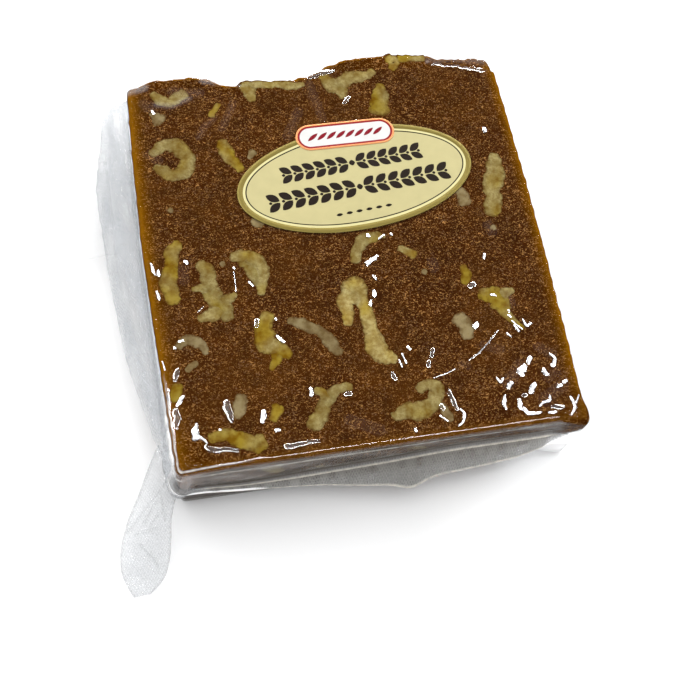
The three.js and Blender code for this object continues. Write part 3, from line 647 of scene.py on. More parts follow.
def film_section(place, edge):
    """Rows round the pouch: over the top edge, down the upper wall, out over the skirt, which droops
    with a power of its reach and waves, back under it and down to the foot. On the left the film
    spans from the top edge to the skirt clear of the wall."""
    height = slab_top(edge[:, 0], edge[:, 1]) + UNDER_FILM
    x, out, half = SKIRT_POINT
    width = np.maximum(0.9, round_the_ring(SKIRT_WIDTH, place))
    width += out * np.exp(-(((edge[:, 0] - x) / half) ** 2)) * (edge[:, 1] < 0)
    seal = round_the_ring(SEAL_HEIGHT, place)
    drop = round_the_ring(SKIRT_DROP, place)
    fillet = np.minimum(0.9, width * 0.35)
    walk = np.cumsum(np.linalg.norm(np.roll(edge, -1, 0) - edge, axis=1))
    waves = ((0.24, 23, 0.4), (0.12, 47, 2.0), (0.05, 101, 1.1), (0.03, 173, 4.0))
    wave = sum(size * np.sin(FULL_TURN * turns * walk / walk[-1] + phase) for size, turns, phase in waves)
    wave *= np.where(edge[:, 1] < -50, 0.6, 1)
    spanned = share_past(-edge[:, 0], 50, 3) * (0.8 + 1.3 * share_past(-edge[:, 1], 10, 40))
    flat = np.ones(len(place))
    rows = []
    for angle in np.radians((18, 36, 54, 72, 90)):
        uneven = 0.022 * ripple(edge[:, 0] + edge[:, 1], 3 * angle + flat, 1.7, 24) * np.sin(2 * angle)
        rows.append((flat * FILM_EDGE_RADIUS * (np.sin(angle) - 1) + uneven,
                     height - FILM_EDGE_RADIUS * (1 - np.cos(angle)) + uneven))
    wall_start = height - FILM_EDGE_RADIUS
    foot = seal + SKIRT_THICKNESS / 2 + 1.5 * fillet
    for share in (0.04, 0.14, 0.22, 0.3, 0.5, 0.72, 0.82, 0.9, 1.0):
        level = wall_start + (foot - wall_start) * share
        rows.append((wall_relief(edge, level) * np.sin(np.pi * share * 0.8) ** 0.5 + spanned * share, level))
    held = wall_relief(edge, foot) * np.sin(np.pi * 0.8) ** 0.5 + spanned
    rows.append((held + 0.22 * fillet, seal + SKIRT_THICKNESS / 2 + 0.6 * fillet))
    rows.append((0.5 * (held + spanned) + 0.55 * fillet, seal + SKIRT_THICKNESS / 2 + 0.17 * fillet))

    def skirt(share, side):
        reach = fillet + spanned + (width - fillet - spanned) * share
        part = reach / width
        creased = 0.10 * ripple(walk * 0.16, reach * 1.2, 2.6, 23) * np.sin(np.pi * share)
        level = seal + side * SKIRT_THICKNESS / 2 - drop * part**1.6 + creased
        return reach, level + wave * part**1.4 * np.minimum(width / 6, 1)
    shares = (0.0, 0.05, 0.13, 0.25, 0.4, 0.57, 0.74, 0.9)
    rows += [skirt(share, 1) for share in shares]
    rows.append(skirt(1.0, 0.6))
    rows.append(skirt(1.0, -0.6))
    rows += [skirt(share, -1) for share in reversed(shares)]
    under = seal - SKIRT_THICKNESS / 2
    low = wall_relief(edge, under - 1.5 * fillet) * 0.8
    rows.append((0.5 * low + 0.55 * fillet, under - 0.17 * fillet))
    rows.append((low + 0.22 * fillet, under - 0.6 * fillet))
    for share in (0.0, 0.4, 0.75, 1.0):
        level = (under - 1.5 * fillet) * (1 - share) + FOOT_RADIUS * share
        rows.append((wall_relief(edge, level) * np.cos(np.pi / 2 * share), level))
    rows.append((flat * -0.4, flat * 0.35))
    rows.append((flat * -FOOT_RADIUS, flat * 0.0))
    return rows


def emboss_group():
    """Diamond weave pressed into vacuum film: two sets of parallel ridges that cross."""
    group = bpy.data.node_groups.new("film_emboss", "ShaderNodeTree")
    group.interface.new_socket("Vector", in_out="INPUT", socket_type="NodeSocketVector")
    group.interface.new_socket("Pitch", in_out="INPUT", socket_type="NodeSocketFloat")
    group.interface.new_socket("Height", in_out="OUTPUT", socket_type="NodeSocketFloat")
    way_in = group.nodes.new("NodeGroupInput")
    way_out = group.nodes.new("NodeGroupOutput")
    split = add_node(group, "ShaderNodeSeparateXYZ", {0: way_in.outputs["Vector"]})
    rate = arithmetic(group, "DIVIDE", FULL_TURN, way_in.outputs["Pitch"])
    ridges = []
    for slope in (0.62, -0.62):
        lean = arithmetic(group, "MULTIPLY", split.outputs["Y"], slope)
        lean = arithmetic(group, "ADD", split.outputs["X"], lean)
        ridges.append(arithmetic(group, "SINE", arithmetic(group, "MULTIPLY", lean, rate)))
    group.links.new(arithmetic(group, "MAXIMUM", ridges[0], ridges[1]), way_out.inputs["Height"])
    return group


EMBOSS = emboss_group()
WEAVE_PITCH = 0.00072


def film_material():
    """Clear plastic film. It mirrors more the flatter it is seen, and lets the rest through. Loose
    film scatters light from its embossed faces and turns pale. Painted shade darkens it over the near
    wall and skirt, painted glints cover it with opaque white, as at its white corner too, and painted
    highlights are creamy lines along its folds and edges. Dots are where only the tips of the weave
    touch. Painted shade is mixed in by its share of what covers. Each look is a share stored on the
    points."""
    material, tree, shader, coords = new_material("vacuum_film", IOR=1.5, Specular_IOR_Level=0.1)
    weave = add_node(tree, "ShaderNodeGroup", {}, node_tree=EMBOSS)
    tree.links.new(coords, weave.inputs["Vector"])
    weave.inputs["Pitch"].default_value = WEAVE_PITCH
    ridges = weave.outputs["Height"]
    # Some of these shares paint shade, highlight lines and white glints; the rest are the film's own looks.
    haze, painted_grey, painted_shade, painted_highlight, dots, glint_and_white, matt, gap = (
        attribute(tree, name) for name in ("haze", "painted_grey", "painted_shade", "painted_highlight", "dots", "glint_and_white", "matt", "gap"))
    crinkle = arithmetic(tree, "ADD", arithmetic(tree, "MULTIPLY", ridges, haze, 0.35),
                         arithmetic(tree, "MULTIPLY", noise(tree, coords, 2.6, 3.0), 0.8))
    normal = relief(tree, shader, crinkle, 0.35, 0.00012)
    facing = add_node(tree, "ShaderNodeLayerWeight", {"Blend": 0.5, "Normal": normal}).outputs["Facing"]
    mirror = ramp(tree, arithmetic(tree, "POWER", facing, 3.6), 0, 1, 0.05, 0.9)
    mirror = arithmetic(tree, "MULTIPLY", mirror, ramp(tree, matt, 0, 1, 1.0, 0.015),
                        ramp(tree, gap, 0, 1, 1.0, 2.2))
    broken = ramp(tree, noise(tree, coords, 1.3, 3.0), 0.36, 0.6, 0.5, 1.0)
    # Painted highlights: creamy lines, broken up by noise.
    lines = arithmetic(tree, "MULTIPLY", painted_highlight, broken, 0.85)
    speckle = arithmetic(tree, "MULTIPLY", dots, ramp(tree, ridges, 0.35, 1.0, 0.0, 0.42))
    # Painted shade: a dark veil over the film where the wall or the floor under it lies in shade.
    shade = arithmetic(tree, "MULTIPLY", painted_shade, 0.8)
    uneven = ramp(tree, noise(tree, coords, 0.6, 2.0), 0.3, 0.7, 0.8, 1.2)
    # Painted shade also thickens the pale veil and turns its tone a darker grey.
    veil = arithmetic(tree, "MULTIPLY", haze, ramp(tree, ridges, -0.6, 1, 0.205, 0.295), uneven,
                      ramp(tree, painted_grey, 0, 1, 1.0, 3.1))
    # Painted glints add white, opaque cover.
    veil = arithmetic(tree, "ADD", veil, glint_and_white)
    cover = arithmetic(tree, "ADD", veil, speckle, shade, lines)
    alpha = arithmetic(tree, "ADD", mirror, cover, clamp=True)
    tree.links.new(alpha, shader.inputs["Alpha"])
    tree.links.new(arithmetic(tree, "DIVIDE", mirror, alpha, clamp=True), shader.inputs["Metallic"])
    tone = blend_colour(tree, haze, (1.0, 1.0, 1.0, 1), (0.45, 0.472, 0.495, 1))
    tone = blend_colour(tree, painted_grey, tone, (0.225, 0.215, 0.195, 1))
    tone = blend_colour(tree, ramp(tree, dots, 0, 0.2), tone, (0.34, 0.235, 0.185, 1))
    tone = blend_colour(tree, ramp(tree, glint_and_white, 0, 0.2), tone, (0.97, 0.97, 0.98, 1))
    # Painted shade is mixed into the tone by its share of what covers.
    covered = arithmetic(tree, "ADD", veil, shade, 0.001)
    tone = blend_colour(tree, arithmetic(tree, "DIVIDE", shade, covered), tone, (0.036, 0.024, 0.014, 1))
    tone = blend_colour(tree, lines, tone, (0.72, 0.67, 0.58, 1))
    tree.links.new(tone, shader.inputs["Base Color"])
    tree.links.new(ramp(tree, haze, 0, 1, 0.04, 0.14), shader.inputs["Roughness"])
    return material


FILM_CELLS = (200, 212)
film_points, film_faces, film_rows = wrapped_body(FILM_CELLS, FILM_EDGE_RADIUS, film_top, film_section)
film_x, film_y, film_z = film_points.T


def down_rows(rows, values):
    """A figure that changes down the rows of the film. Row 0 is the top, 1 to 5 are the rounded edge,
    6 to 14 the upper wall, 17 to 25 the top of the skirt, 26 to 34 its underside, 37 to 40 the lower
    wall, and 41 and 42 the foot."""
    return np.interp(film_rows, rows, values)


# Parts of the film, as shares that are 1 there and fall to 0 outside.
beside_near = share_past(-film_y, 55, 1.5) * share_past(-np.abs(film_x), -50, 5)
beside_left = share_past(-film_x, 50, 3)
low_left = beside_left * share_past(-film_y, 15, 20)
right_corner = share_past(film_x, 45, 4) * share_past(-film_y, 50, 3)
left_corner = share_past(-film_x, 42, 4) * share_past(-film_y, 45, 4)
near_side = share_past(-film_y, 52, 1)
right_end = share_past(film_x, 22, 14)
on_skirt = (film_rows > 16) & (film_rows < 36)
under = near_side * (film_rows > 34)
on_wall = beside_near * down_rows((5, 7, 12, 14), (0, 1, 1, 0))
# A painted highlight along the lip of the skirt, at the left of the near side.
seam = near_side * share_past(-film_x, 30, 8) * down_rows((22, 24, 26, 27), (0, 1, 1, 0))
# A painted glint line along the top edge near the near left corner and down the left side.
edge_line = down_rows((0, 1, 2), (0, 1, 0)) * np.maximum(
    near_side * share_past(-film_x, 34, 5), share_past(-film_x, 50, 1) * share_past(-film_y, 30, 8))
# At the near right corner the film is white and opaque, up to a height that grows with x.
white_height = np.interp(film_x, (37, 53, 57), (6, 21, 24))
white_corner = near_side * share_past(white_height, film_z, 0.8) * share_past(film_x, 34, 6)
white_corner *= (film_rows > 6) * (film_rows < 44)
across, deep = np.meshgrid(*(np.arange(count + 1) for count in FILM_CELLS))
cells_in = np.minimum.reduce([across, FILM_CELLS[0] - across, deep, FILM_CELLS[1] - deep]).ravel()
at_edge = share_past(-film_rows, -8, 2)
at_edge[:cells_in.size] = share_past(-cells_in, -5, 2)

# Random streaks along the near wall, and pleats in the skirt.
streaked = np.clip(0.5 + 0.5 * ripple(film_x * 0.16, film_z * 2.0, 2.6, 31), 0, 1)
pleated = 1 + 0.35 * ripple(film_x, film_y * 0.2, 4, 51)
haze = down_rows((0, 5, 6, 13, 14, 17, 35, 38, 48), (0, 0.01, 0.16, 0.15, 0.06, 1, 1, 0.15, 0))
haze *= np.where(on_skirt, pleated * (1 + (0.4 + 0.25 * share_past(film_y, 0, 40)) * beside_left), 1)
haze *= 1 + beside_left * on_skirt * down_rows((17, 20, 25), (0.3, 0.05, -0.2))
haze *= 1 - 0.45 * share_past(-film_x, 48, 3) * share_past(-film_y, 38, 8) * on_skirt
haze *= 1 - 0.8 * under - 0.6 * right_corner * on_skirt - 0.85 * right_corner * (film_rows < 15)
haze = np.maximum(haze, beside_left * (film_y > -53) * down_rows((8, 10, 17, 18), (0, 1.2, 1.6, 0)))
haze = (haze + 0.40 * on_wall * streaked**2) * (1 - 0.75 * on_wall * right_end)
# Painted shade: a band above the skirt's root on the near side, the lower wall under the skirt's lip, random
# streaks on the near wall growing towards its right end, and the near right corner. Under the lip it fades
# out to the right.
painted_shade = beside_near * down_rows((12, 13, 14, 15, 16, 17, 19, 21), (0, 0.6, 1, 1, 0.5, 0.1, 0.2, 0))
painted_shade += under * down_rows((34, 35, 37, 39, 40, 41, 42), (0, 1.25, 1.1, 0.95, 1.1, 1.25, 1.0))
painted_shade += on_wall * (0.85 * (1 - streaked) ** 2 + 0.3 * right_end)
painted_shade += 0.3 * right_corner * (film_rows > 5) * (film_rows < 14)
painted_shade *= np.where(film_rows > 32, np.clip((4 - film_x) / 40, 0.15, 1), 1)
sides = (film_x > 50) + (film_y > 50) + beside_left * (film_y > -35) * (film_rows < 5) + right_corner
matt = (at_edge * sides + (right_corner + left_corner * (film_rows < 1)) * (film_rows < 14)
        + (0.9 * beside_left + 0.85 * beside_near) * on_skirt + under + white_corner)
dull = np.clip(0.35 + 0.55 * (1 - streaked) + 0.7 * share_past(film_x, 22, 16), 0, 1)
film_marks = {
    "haze": haze,
    # Painted shade: a grey veil over the near wall and the near skirt.
    "painted_grey": beside_near * down_rows((6, 14, 15, 17, 24, 28, 34), (0.85, 0.85, 0, 1, 0.8, 0.8, 0)),
    "painted_shade": painted_shade,
    # Painted highlights: creamy lines at the skirt's root and lip on the near side, on the upper wall, and
    # along the top edge.
    "painted_highlight": np.maximum.reduce([
        beside_near * down_rows((16, 17, 18, 24, 25, 26, 27), (0, 1, 0, 0, 1, 1, 0)),
        np.maximum(beside_near, low_left) * down_rows((7, 8, 9), (0, 0.55, 0)), 0.9 * edge_line]),
    # Painted glints: a white line down the left wall and along the lip; also the film's white corner.
    "glint_and_white": np.maximum.reduce([
        beside_left * (film_y > -53) * down_rows((4, 5, 6, 7.5), (0, 1, 1, 0)), 0.85 * seam, white_corner]),
    "dots": np.zeros(len(film_points)),
    "matt": np.maximum(np.clip(matt, 0, 1), on_wall * dull),
}
for title, streaks, strength in (("haze", UNBONDED, 0.45), ("dots", DOTTED, 0.75)):
    for amount, half, *points in streaks:
        away = off_stroke(film_x, film_y, [(*point, 0.0) for point in points])
        shown = strength * amount * np.clip(1.2 - away / half, 0, 1) * (film_z > 24)
        film_marks[title] = np.maximum(film_marks[title], shown)
film = film_material()
film_pouch = make_piece("film_pouch", film_points, film_faces, film, film_marks)
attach(film_pouch, "root")
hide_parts("pouch")


# ---- Pockets of air under the film ---------------------------------------------------------------
# Where the film isn't flat against the slab it stands up in little blisters, which catch the light
# round their sides. Solid ones shine all over, helped by a painted white glint, hollow ones as a loop,
# creases as a thin line. Height over half width, the power by which it falls to its edges, how much
# painted glint fills it, and the strokes of (x, y, half width) along the top: solid ones, then hollow
# ones, then creases.
BLISTERS = (
    (0.26, 1.3, 0.9, (
        ((-53.2, -26.7, 0.18), (-52.8, -29.0, 0.18)),
        ((-49.2, -36.8, 0.41), (-50.1, -37.8, 0.59), (-50.9, -39.0, 0.36)),
        ((-46.8, -44.2, 0.20), (-47.2, -45.8, 0.86), (-47.4, -47.6, 1.05)),
        ((-46.8, -47.5, 0.60), (-45.7, -48.4, 0.38), (-44.8, -49.6, 0.20)),
        ((-29.8, -43.5, 0.62), (-30.2, -44.8, 0.82), (-30.5, -46.1, 0.46)),
        ((-27.3, -48.7, 0.56), (-26.7, -48.8, 0.46)), ((-41.3, -46.7, 0.30), (-41.1, -46.7, 0.30)),
        ((-23.4, -23.4, 0.30), (-22.8, -24.4, 0.46), (-21.9, -25.3, 0.40)),
        ((-17.1, -39.1, 0.50), (-17.2, -40.7, 0.55)), ((8.1, -32.7, 0.25), (8.7, -35.4, 0.25)),
        ((7.0, -34.3, 0.22), (7.4, -36.3, 0.22)), ((10.0, -31.0, 0.41), (10.5, -31.6, 0.38)),
        ((7.5, -53.4, 0.37), (7.5, -54.0, 0.37)), ((14.5, -50.9, 0.24), (16.2, -52.5, 0.21)),
        ((29.9, -26.8, 0.59), (29.2, -27.7, 0.76)), ((39.9, -28.7, 0.28), (40.8, -30.4, 0.37)),
        ((37.4, -30.6, 0.28), (38.3, -31.6, 0.25)),
        ((42.7, -27.4, 0.29), (43.4, -29.1, 0.43), (44.7, -28.6, 0.31)),
        ((39.6, -27.3, 0.20), (41.8, -30.0, 0.20)), ((41.9, -38.4, 0.62), (41.2, -39.5, 0.61)),
        ((39.7, -40.7, 0.89), (38.6, -41.7, 1.16), (38.6, -42.6, 0.77)),
        ((47.6, -38.0, 0.28), (48.6, -39.6, 0.48), (47.6, -41.2, 0.70)),
        ((44.8, -42.4, 0.70), (45.2, -43.5, 0.69)),
        ((31.7, -42.8, 0.30), (32.5, -44.0, 0.38), (33.2, -43.2, 0.30)),
        ((35.2, -44.6, 0.60), (34.2, -45.6, 0.63)),
        ((32.7, -47.8, 0.27), (32.0, -49.5, 0.57), (32.1, -51.5, 0.27)),
        ((41.3, -45.8, 0.55), (40.5, -46.8, 0.80), (39.7, -47.8, 0.63)),
        ((36.3, -49.6, 0.57), (35.9, -51.2, 0.62), (36.3, -52.1, 0.32)),
        ((36.8, -52.1, 0.49), (37.8, -53.4, 0.59), (39.4, -53.7, 0.43), (41.1, -53.6, 0.27)),
        ((41.2, -51.9, 0.27), (42.3, -51.1, 0.38), (44.0, -50.8, 0.41), (44.6, -49.6, 0.27)),
        ((47.5, -47.3, 0.50), (48.4, -47.0, 0.47)), ((49.2, -46.3, 0.44), (50.0, -46.0, 0.47)),
        ((43.2, -54.0, 0.35), (45.0, -54.1, 0.41)),
        ((50.1, -50.7, 0.36), (50.7, -52.4, 0.47), (50.3, -54.0, 0.38), (49.1, -55.3, 0.25)),
        ((52.5, -50.4, 0.22), (51.2, -52.2, 0.30)), ((-47.8, 49.2, 0.28), (-47.4, 48.1, 0.40)),
        ((46.1, 33.7, 0.65), (46.2, 32.8, 0.58)), ((36.7, -6.6, 0.39), (36.4, -7.8, 0.38)),
        ((35.7, -19.0, 0.35), (36.8, -19.3, 0.38)), ((39.5, -24.2, 0.29), (39.5, -24.6, 0.29)),
        ((39.1, -25.5, 0.29), (39.5, -26.1, 0.26)),
        ((7.0, -3.6, 0.41), (5.4, -4.6, 0.58), (3.8, -6.0, 0.35)),
        ((6.5, -4.5, 0.29), (3.6, -5.2, 0.29)), ((4.8, -9.4, 0.34), (5.4, -10.4, 0.31)),
        ((4.2, -14.0, 0.54), (4.0, -15.2, 0.56)), ((2.8, -16.7, 0.34), (2.4, -17.7, 0.48)),
        ((5.6, 2.9, 0.50), (5.9, 2.6, 0.44)), ((10.1, 2.5, 0.27), (8.5, 1.5, 0.26)),
        ((12.1, 2.6, 0.35), (12.3, 2.4, 0.30)), ((-23.1, -18.5, 0.30), (-22.9, -18.8, 0.30)),
        ((-44.3, 0.9, 0.39), (-43.8, 0.4, 0.47)),
        ((-53.1, 1.3, 0.25), (-52.8, -0.6, 0.41), (-52.4, -2.1, 0.25)),
        ((-51.5, -1.0, 0.33), (-51.5, -2.2, 0.58)),
        ((-52.6, -7.0, 0.30), (-52.2, -8.5, 0.46), (-52.1, -9.4, 0.24)),
        ((-31.8, -2.4, 0.28), (-31.7, -2.7, 0.28)), ((-28.4, -7.1, 0.25), (-27.5, -8.4, 0.25)),
        ((-49.8, -23.3, 0.34), (-49.6, -23.5, 0.32)), ((-48.5, -21.7, 0.29), (-47.4, -21.5, 0.29)),
        ((-52.5, -34.4, 0.26), (-52.4, -34.6, 0.26)),
        ((20.2, -49.8, 0.27), (20.9, -51.3, 0.37), (20.2, -53.1, 0.35), (18.9, -54.1, 0.26)),
    )),
    (0.15, 3.0, 0.08, (
        ((-49.8, -29.4, 0.52), (-50.2, -30.7, 0.78), (-50.7, -32.0, 0.52)),
        ((-51.4, -40.5, 0.91), (-51.4, -42.6, 0.98), (-51.9, -44.4, 0.60)),
        ((-45.2, -50.5, 0.60), (-43.6, -51.6, 0.80), (-41.7, -51.8, 0.60),
         (-39.7, -52.0, 0.53), (-37.8, -52.8, 0.45)),
        ((-38.8, -39.9, 0.82), (-38.7, -41.5, 1.08), (-38.3, -43.4, 0.82), (-38.1, -44.8, 0.46)),
        ((-25.5, -53.3, 0.76), (-23.2, -53.3, 0.71), (-20.6, -53.0, 0.56),
         (-18.9, -52.9, 0.56), (-17.4, -53.1, 0.36)), ((-8.3, -41.8, 0.66), (-7.4, -41.9, 0.66)),
        ((4.5, -37.5, 0.38), (4.8, -38.5, 0.70), (4.9, -39.2, 0.70)),
        ((16.5, -32.7, 0.55), (15.8, -34.3, 0.55)), ((14.8, -35.9, 0.55), (14.3, -37.0, 0.52)),
        ((15.4, -48.3, 0.61), (15.7, -49.1, 0.56)),
        ((18.3, -44.3, 0.35), (18.7, -46.8, 0.64), (19.3, -49.7, 0.48)),
        ((37.8, -48.4, 0.63), (38.2, -48.4, 0.63)),
        ((44.3, -52.6, 0.44), (45.9, -52.8, 0.74), (47.4, -53.0, 0.52)),
        ((-1.8, 56.5, 0.84), (1.0, 57.5, 1.17), (3.7, 57.8, 0.91), (5.6, 58.0, 0.46)),
        ((6.6, 46.4, 0.35), (7.6, 47.5, 0.64), (8.6, 48.4, 0.48)),
        ((30.7, -15.8, 0.75), (31.6, -15.3, 0.78)), ((-27.9, -18.5, 0.65), (-28.4, -19.9, 0.65)),
    )),
    (0.22, 1.5, 0.3, (
        ((15.1, -40.5, 0.16), (18.5, -39.7, 0.16), (21.2, -38.8, 0.16)),
        ((25.4, -36.8, 0.19), (28.3, -35.3, 0.22), (31.0, -33.2, 0.22), (33.0, -31.5, 0.20),
         (35.2, -29.4, 0.14)), ((-31.9, -3.7, 0.14), (-32.0, -6.7, 0.14), (-32.2, -9.6, 0.14)),
        ((-42.7, -14.1, 0.14), (-41.2, -12.8, 0.14)),
    )),
)


def two_skins(along, across):
    """Faces of a closed sheet: an upper grid of points, the same grid under it, and their border."""
    number = np.arange(along * across).reshape(along, across)
    under = number + along * across
    border = np.concatenate([number[:-1, 0], number[-1, :-1], number[:0:-1, -1], number[0, :0:-1]])
    after = np.roll(border, -1)
    quads = [np.stack([number[:-1, :-1], number[1:, :-1], number[1:, 1:], number[:-1, 1:]], -1),
             np.stack([under[:-1, :-1], under[:-1, 1:], under[1:, 1:], under[1:, :-1]], -1),
             np.stack([border, border + along * across, after + along * across, after], -1)]
    return np.concatenate([quad.reshape(-1, 4) for quad in quads])


def blister(stroke, steep, power, glint_fill, seed, along=30, across=17):
    """A closed blister of film along a stroke: its height falls from the middle line to its edges as
    one less a power of the distance, and its half width wanders by a sine."""
    draw = np.random.default_rng(seed)
    line, normal, beyond, run = spine(stroke, along, 1.0, 0.05)
    cap = np.sqrt(np.clip(1 - (beyond / line[:, 2]) ** 2, 0, 1))
    side = np.linspace(-1, 1, across)
    wander = 1 + 0.16 * np.sin(run[:, None] * 2.4 + draw.uniform(0, 6.3) + 1.4 * side)
    wide = (line[:, 2] * cap)[:, None] * wander
    plan = line[:, None, :2] + normal[:, None, :] * (wide * side)[..., None]
    away = np.sqrt(np.clip(side[None] ** 2 * cap[:, None] ** 2 + 1 - cap[:, None] ** 2, 0, 1))
    rise = steep * line[:, 2][:, None] * (1 - away**power)
    level = film_top(plan[..., 0], plan[..., 1])
    top = np.concatenate([plan, (level + rise + 0.012)[..., None]], -1)
    bottom = np.concatenate([plan, (level - 0.03)[..., None]], -1)
    # Painted glint: a white cover on the blister's top, strongest in the middle and patchy; its underside has
    # none.
    patchy = 0.8 + 0.35 * np.sin(plan[..., 0] * 4.1 + plan[..., 1] * 3.3 + seed)
    glint_and_white = glint_fill * np.clip((1 - away**1.5) * 1.3 * patchy, 0, 1)
    points = np.concatenate([top.reshape(-1, 3), bottom.reshape(-1, 3)])
    return points, two_skins(along, across)[:, ::-1], np.concatenate([glint_and_white.ravel(), 0 * glint_and_white.ravel()])


blister_points, blister_faces, blister_glint, blister_count = [], [], [], 0
strokes = [(stroke, *look) for *look, group in BLISTERS for stroke in group]
for index, (stroke, *look) in enumerate(strokes):
    points, faces, glint_and_white = blister(stroke, *look, 300 + index)
    blister_points.append(points)
    blister_glint.append(glint_and_white)
    blister_faces.append(faces + blister_count)
    blister_count += len(points)
film_blisters = make_piece(
    "film_blisters", np.concatenate(blister_points), np.concatenate(blister_faces).tolist(), film,
    {"gap": np.ones(blister_count), "glint_and_white": np.concatenate(blister_glint)})
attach(film_blisters, "root")
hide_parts("pouch")


# ---- The loose ends of the film ---------------------------------------------------------------
# Corners of the pouch that hang free: a long tail at the near left, an ear at the near right and a
# folded flap on the left. Each is both sheets together, pleated where it leaves the slab's corner.
# Figures of each: two edges as (x, y, z) from root to tip, how high it is crowned, how hazy it is.
LOOSE_ENDS = {
    "film_tail": (
        ((-57.0, -43.0, 11.6), (-59.8, -47.6, 10.0), (-63.4, -54.2, 7.4), (-67.2, -60.6, 5.0),
         (-69.7, -67.2, 3.0), (-70.1, -73.4, 1.6), (-67.8, -79.4, 0.9)),
        ((-52.6, -54.0, 11.6), (-54.6, -58.6, 9.4), (-55.9, -62.2, 7.2), (-56.6, -66.6, 5.0),
         (-57.6, -71.4, 3.0), (-59.6, -75.8, 1.6), (-63.4, -79.2, 0.9)), 1.0, 0.88),
    "film_ear": (
        ((52.0, -55.2, 17.4), (54.4, -58.6, 11.0), (55.6, -61.4, 4.6), (56.2, -63.6, 0.9)),
        ((55.0, -49.0, 16.4), (60.4, -52.6, 10.6), (67.2, -58.8, 4.2), (73.6, -65.0, 0.9)), 0.8, 0.16),
    "film_flap": (
        ((-62.0, 15.0, 9.8), (-66.4, 16.2, 7.6), (-71.6, 17.6, 3.6), (-77.0, 19.4, 0.9)),
        ((-62.6, 46.0, 10.2), (-65.2, 46.4, 8.8), (-66.6, 46.2, 7.0), (-67.8, 45.4, 5.4)), 0.6, 0.35),
}
# Sharp folds in the tail, as lines on the plan.
TAIL_FOLDS = (((-55.0, -52.0), (-60.9, -57.3), (-67.4, -63.1)), ((-65.7, -64.2), (-59.9, -63.5)),
              ((-61.6, -63.0), (-59.2, -60.5)), ((-59.2, -57.0), (-63.3, -62.0)),
              ((-57.9, -54.6), (-57.6, -62.1)), ((-53.8, -57.4), (-55.3, -58.5)),
              ((-64.7, -66.8), (-62.5, -69.9)), ((-62.5, -69.1), (-60.8, -72.7)))


def off_folds(points):
    """Distance in plan from the nearest sharp fold of the tail."""
    return np.min([off_stroke(points[..., 0], points[..., 1], [(*point, 0.0) for point in fold])
                   for fold in TAIL_FOLDS], axis=0)


def loose_end(left, right, crown, seed, along=90, across=44):
    """A thin closed sheet between two edge curves: crowned by a half sine across, with pleats that
    fan out from its root and fade, low random waves, and sharp folds along lines."""
    run, span = np.meshgrid(np.linspace(0, 1, along), np.linspace(0, 1, across), indexing="ij")
    near, far = through(left, run[:, 0]), through(right, run[:, 0])
    sheet = near[:, None] + (far - near)[:, None] * span[..., None]
    rise = crown * np.sin(np.pi * span) * np.sin(np.pi * run)
    rise += 0.34 * np.sin(span * 19 + 2.2 * np.sin(run * 5)) * np.sin(np.pi * span) * np.exp(-run * 2.6)
    rise += 0.22 * ripple(sheet[..., 0], sheet[..., 1], 5, seed) * np.sin(np.pi * span) ** 0.5
    rise += 0.22 * np.maximum(0, 1 - off_folds(sheet) / 0.5) * np.minimum(1, 8 * span * (1 - span))
    skins = [sheet + np.stack([0 * rise, 0 * rise, rise + side * SKIRT_THICKNESS / 2], -1)
             for side in (1, -1)]
    points = np.concatenate([skin.reshape(-1, 3) for skin in skins])
    points[:, 2] = np.maximum(points[:, 2], 0.12)
    side = np.tile((np.minimum(span, 1 - span) * np.linalg.norm(far - near, axis=1)[:, None]).ravel(), 2)
    return points, two_skins(along, across), side


for seed, (name, (left, right, crown, veil)) in enumerate(LOOSE_ENDS.items()):
    points, quads, side = loose_end(left, right, crown, 60 + seed)
    first, second, third = points[quads[0, :3]]
    if np.cross(second - first, third - first)[2] < 0:
        quads = quads[:, ::-1]
    # Painted shade: a grey veil along the sheet's edges and along its sharp folds.
    painted_grey = 0.3 * veil * np.exp(-((side / 0.5) ** 2)) + 0.2 * np.exp(-((off_folds(points) / 0.35) ** 2))
    marks = {"haze": np.full(len(points), veil), "matt": np.full(len(points), 0.92), "painted_grey": painted_grey}
    piece = make_piece(name, points, quads.tolist(), film, marks)
    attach(piece, "root")
    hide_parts("pouch")


# ---- The sticker ---------------------------------------------------------------------------------
# An oval of satin paper glued to the film: an embossed gold rim, a pale line and a thin dark line
# round a cream field, with two rows of leaves printed on it and a red-bordered plaque at its head.
def oval(half):
    """The outline of an oval, drawn in by an inset."""
    turn = np.linspace(0, 2 * np.pi, 288, endpoint=False)
    return lambda inset: np.stack([(half[0] - inset) * np.cos(turn), (half[1] - inset) * np.sin(turn)], -1)


def bar(half):
    """The outline of a bar with round ends, drawn in by an inset."""
    turn = np.linspace(0, 2 * np.pi, 160, endpoint=False)
    straight = np.sign(np.cos(turn)) * (half[0] - half[1]) * np.minimum(1, 6 * np.abs(np.cos(turn)))
    return lambda inset: np.stack([straight + (half[1] - inset) * np.cos(turn),
                                   (half[1] - inset) * np.sin(turn)], -1)


def label_place(local, middle, turn, height):
    """Points of a label laid on the film at a height above its bed."""
    x = middle[0] + local[:, 0] * np.cos(turn) - local[:, 1] * np.sin(turn)
    y = middle[1] + local[:, 0] * np.sin(turn) + local[:, 1] * np.cos(turn)
    return np.stack([x, y, slab_top(x, y) + UNDER_FILM + STICKER_BED + height], -1)


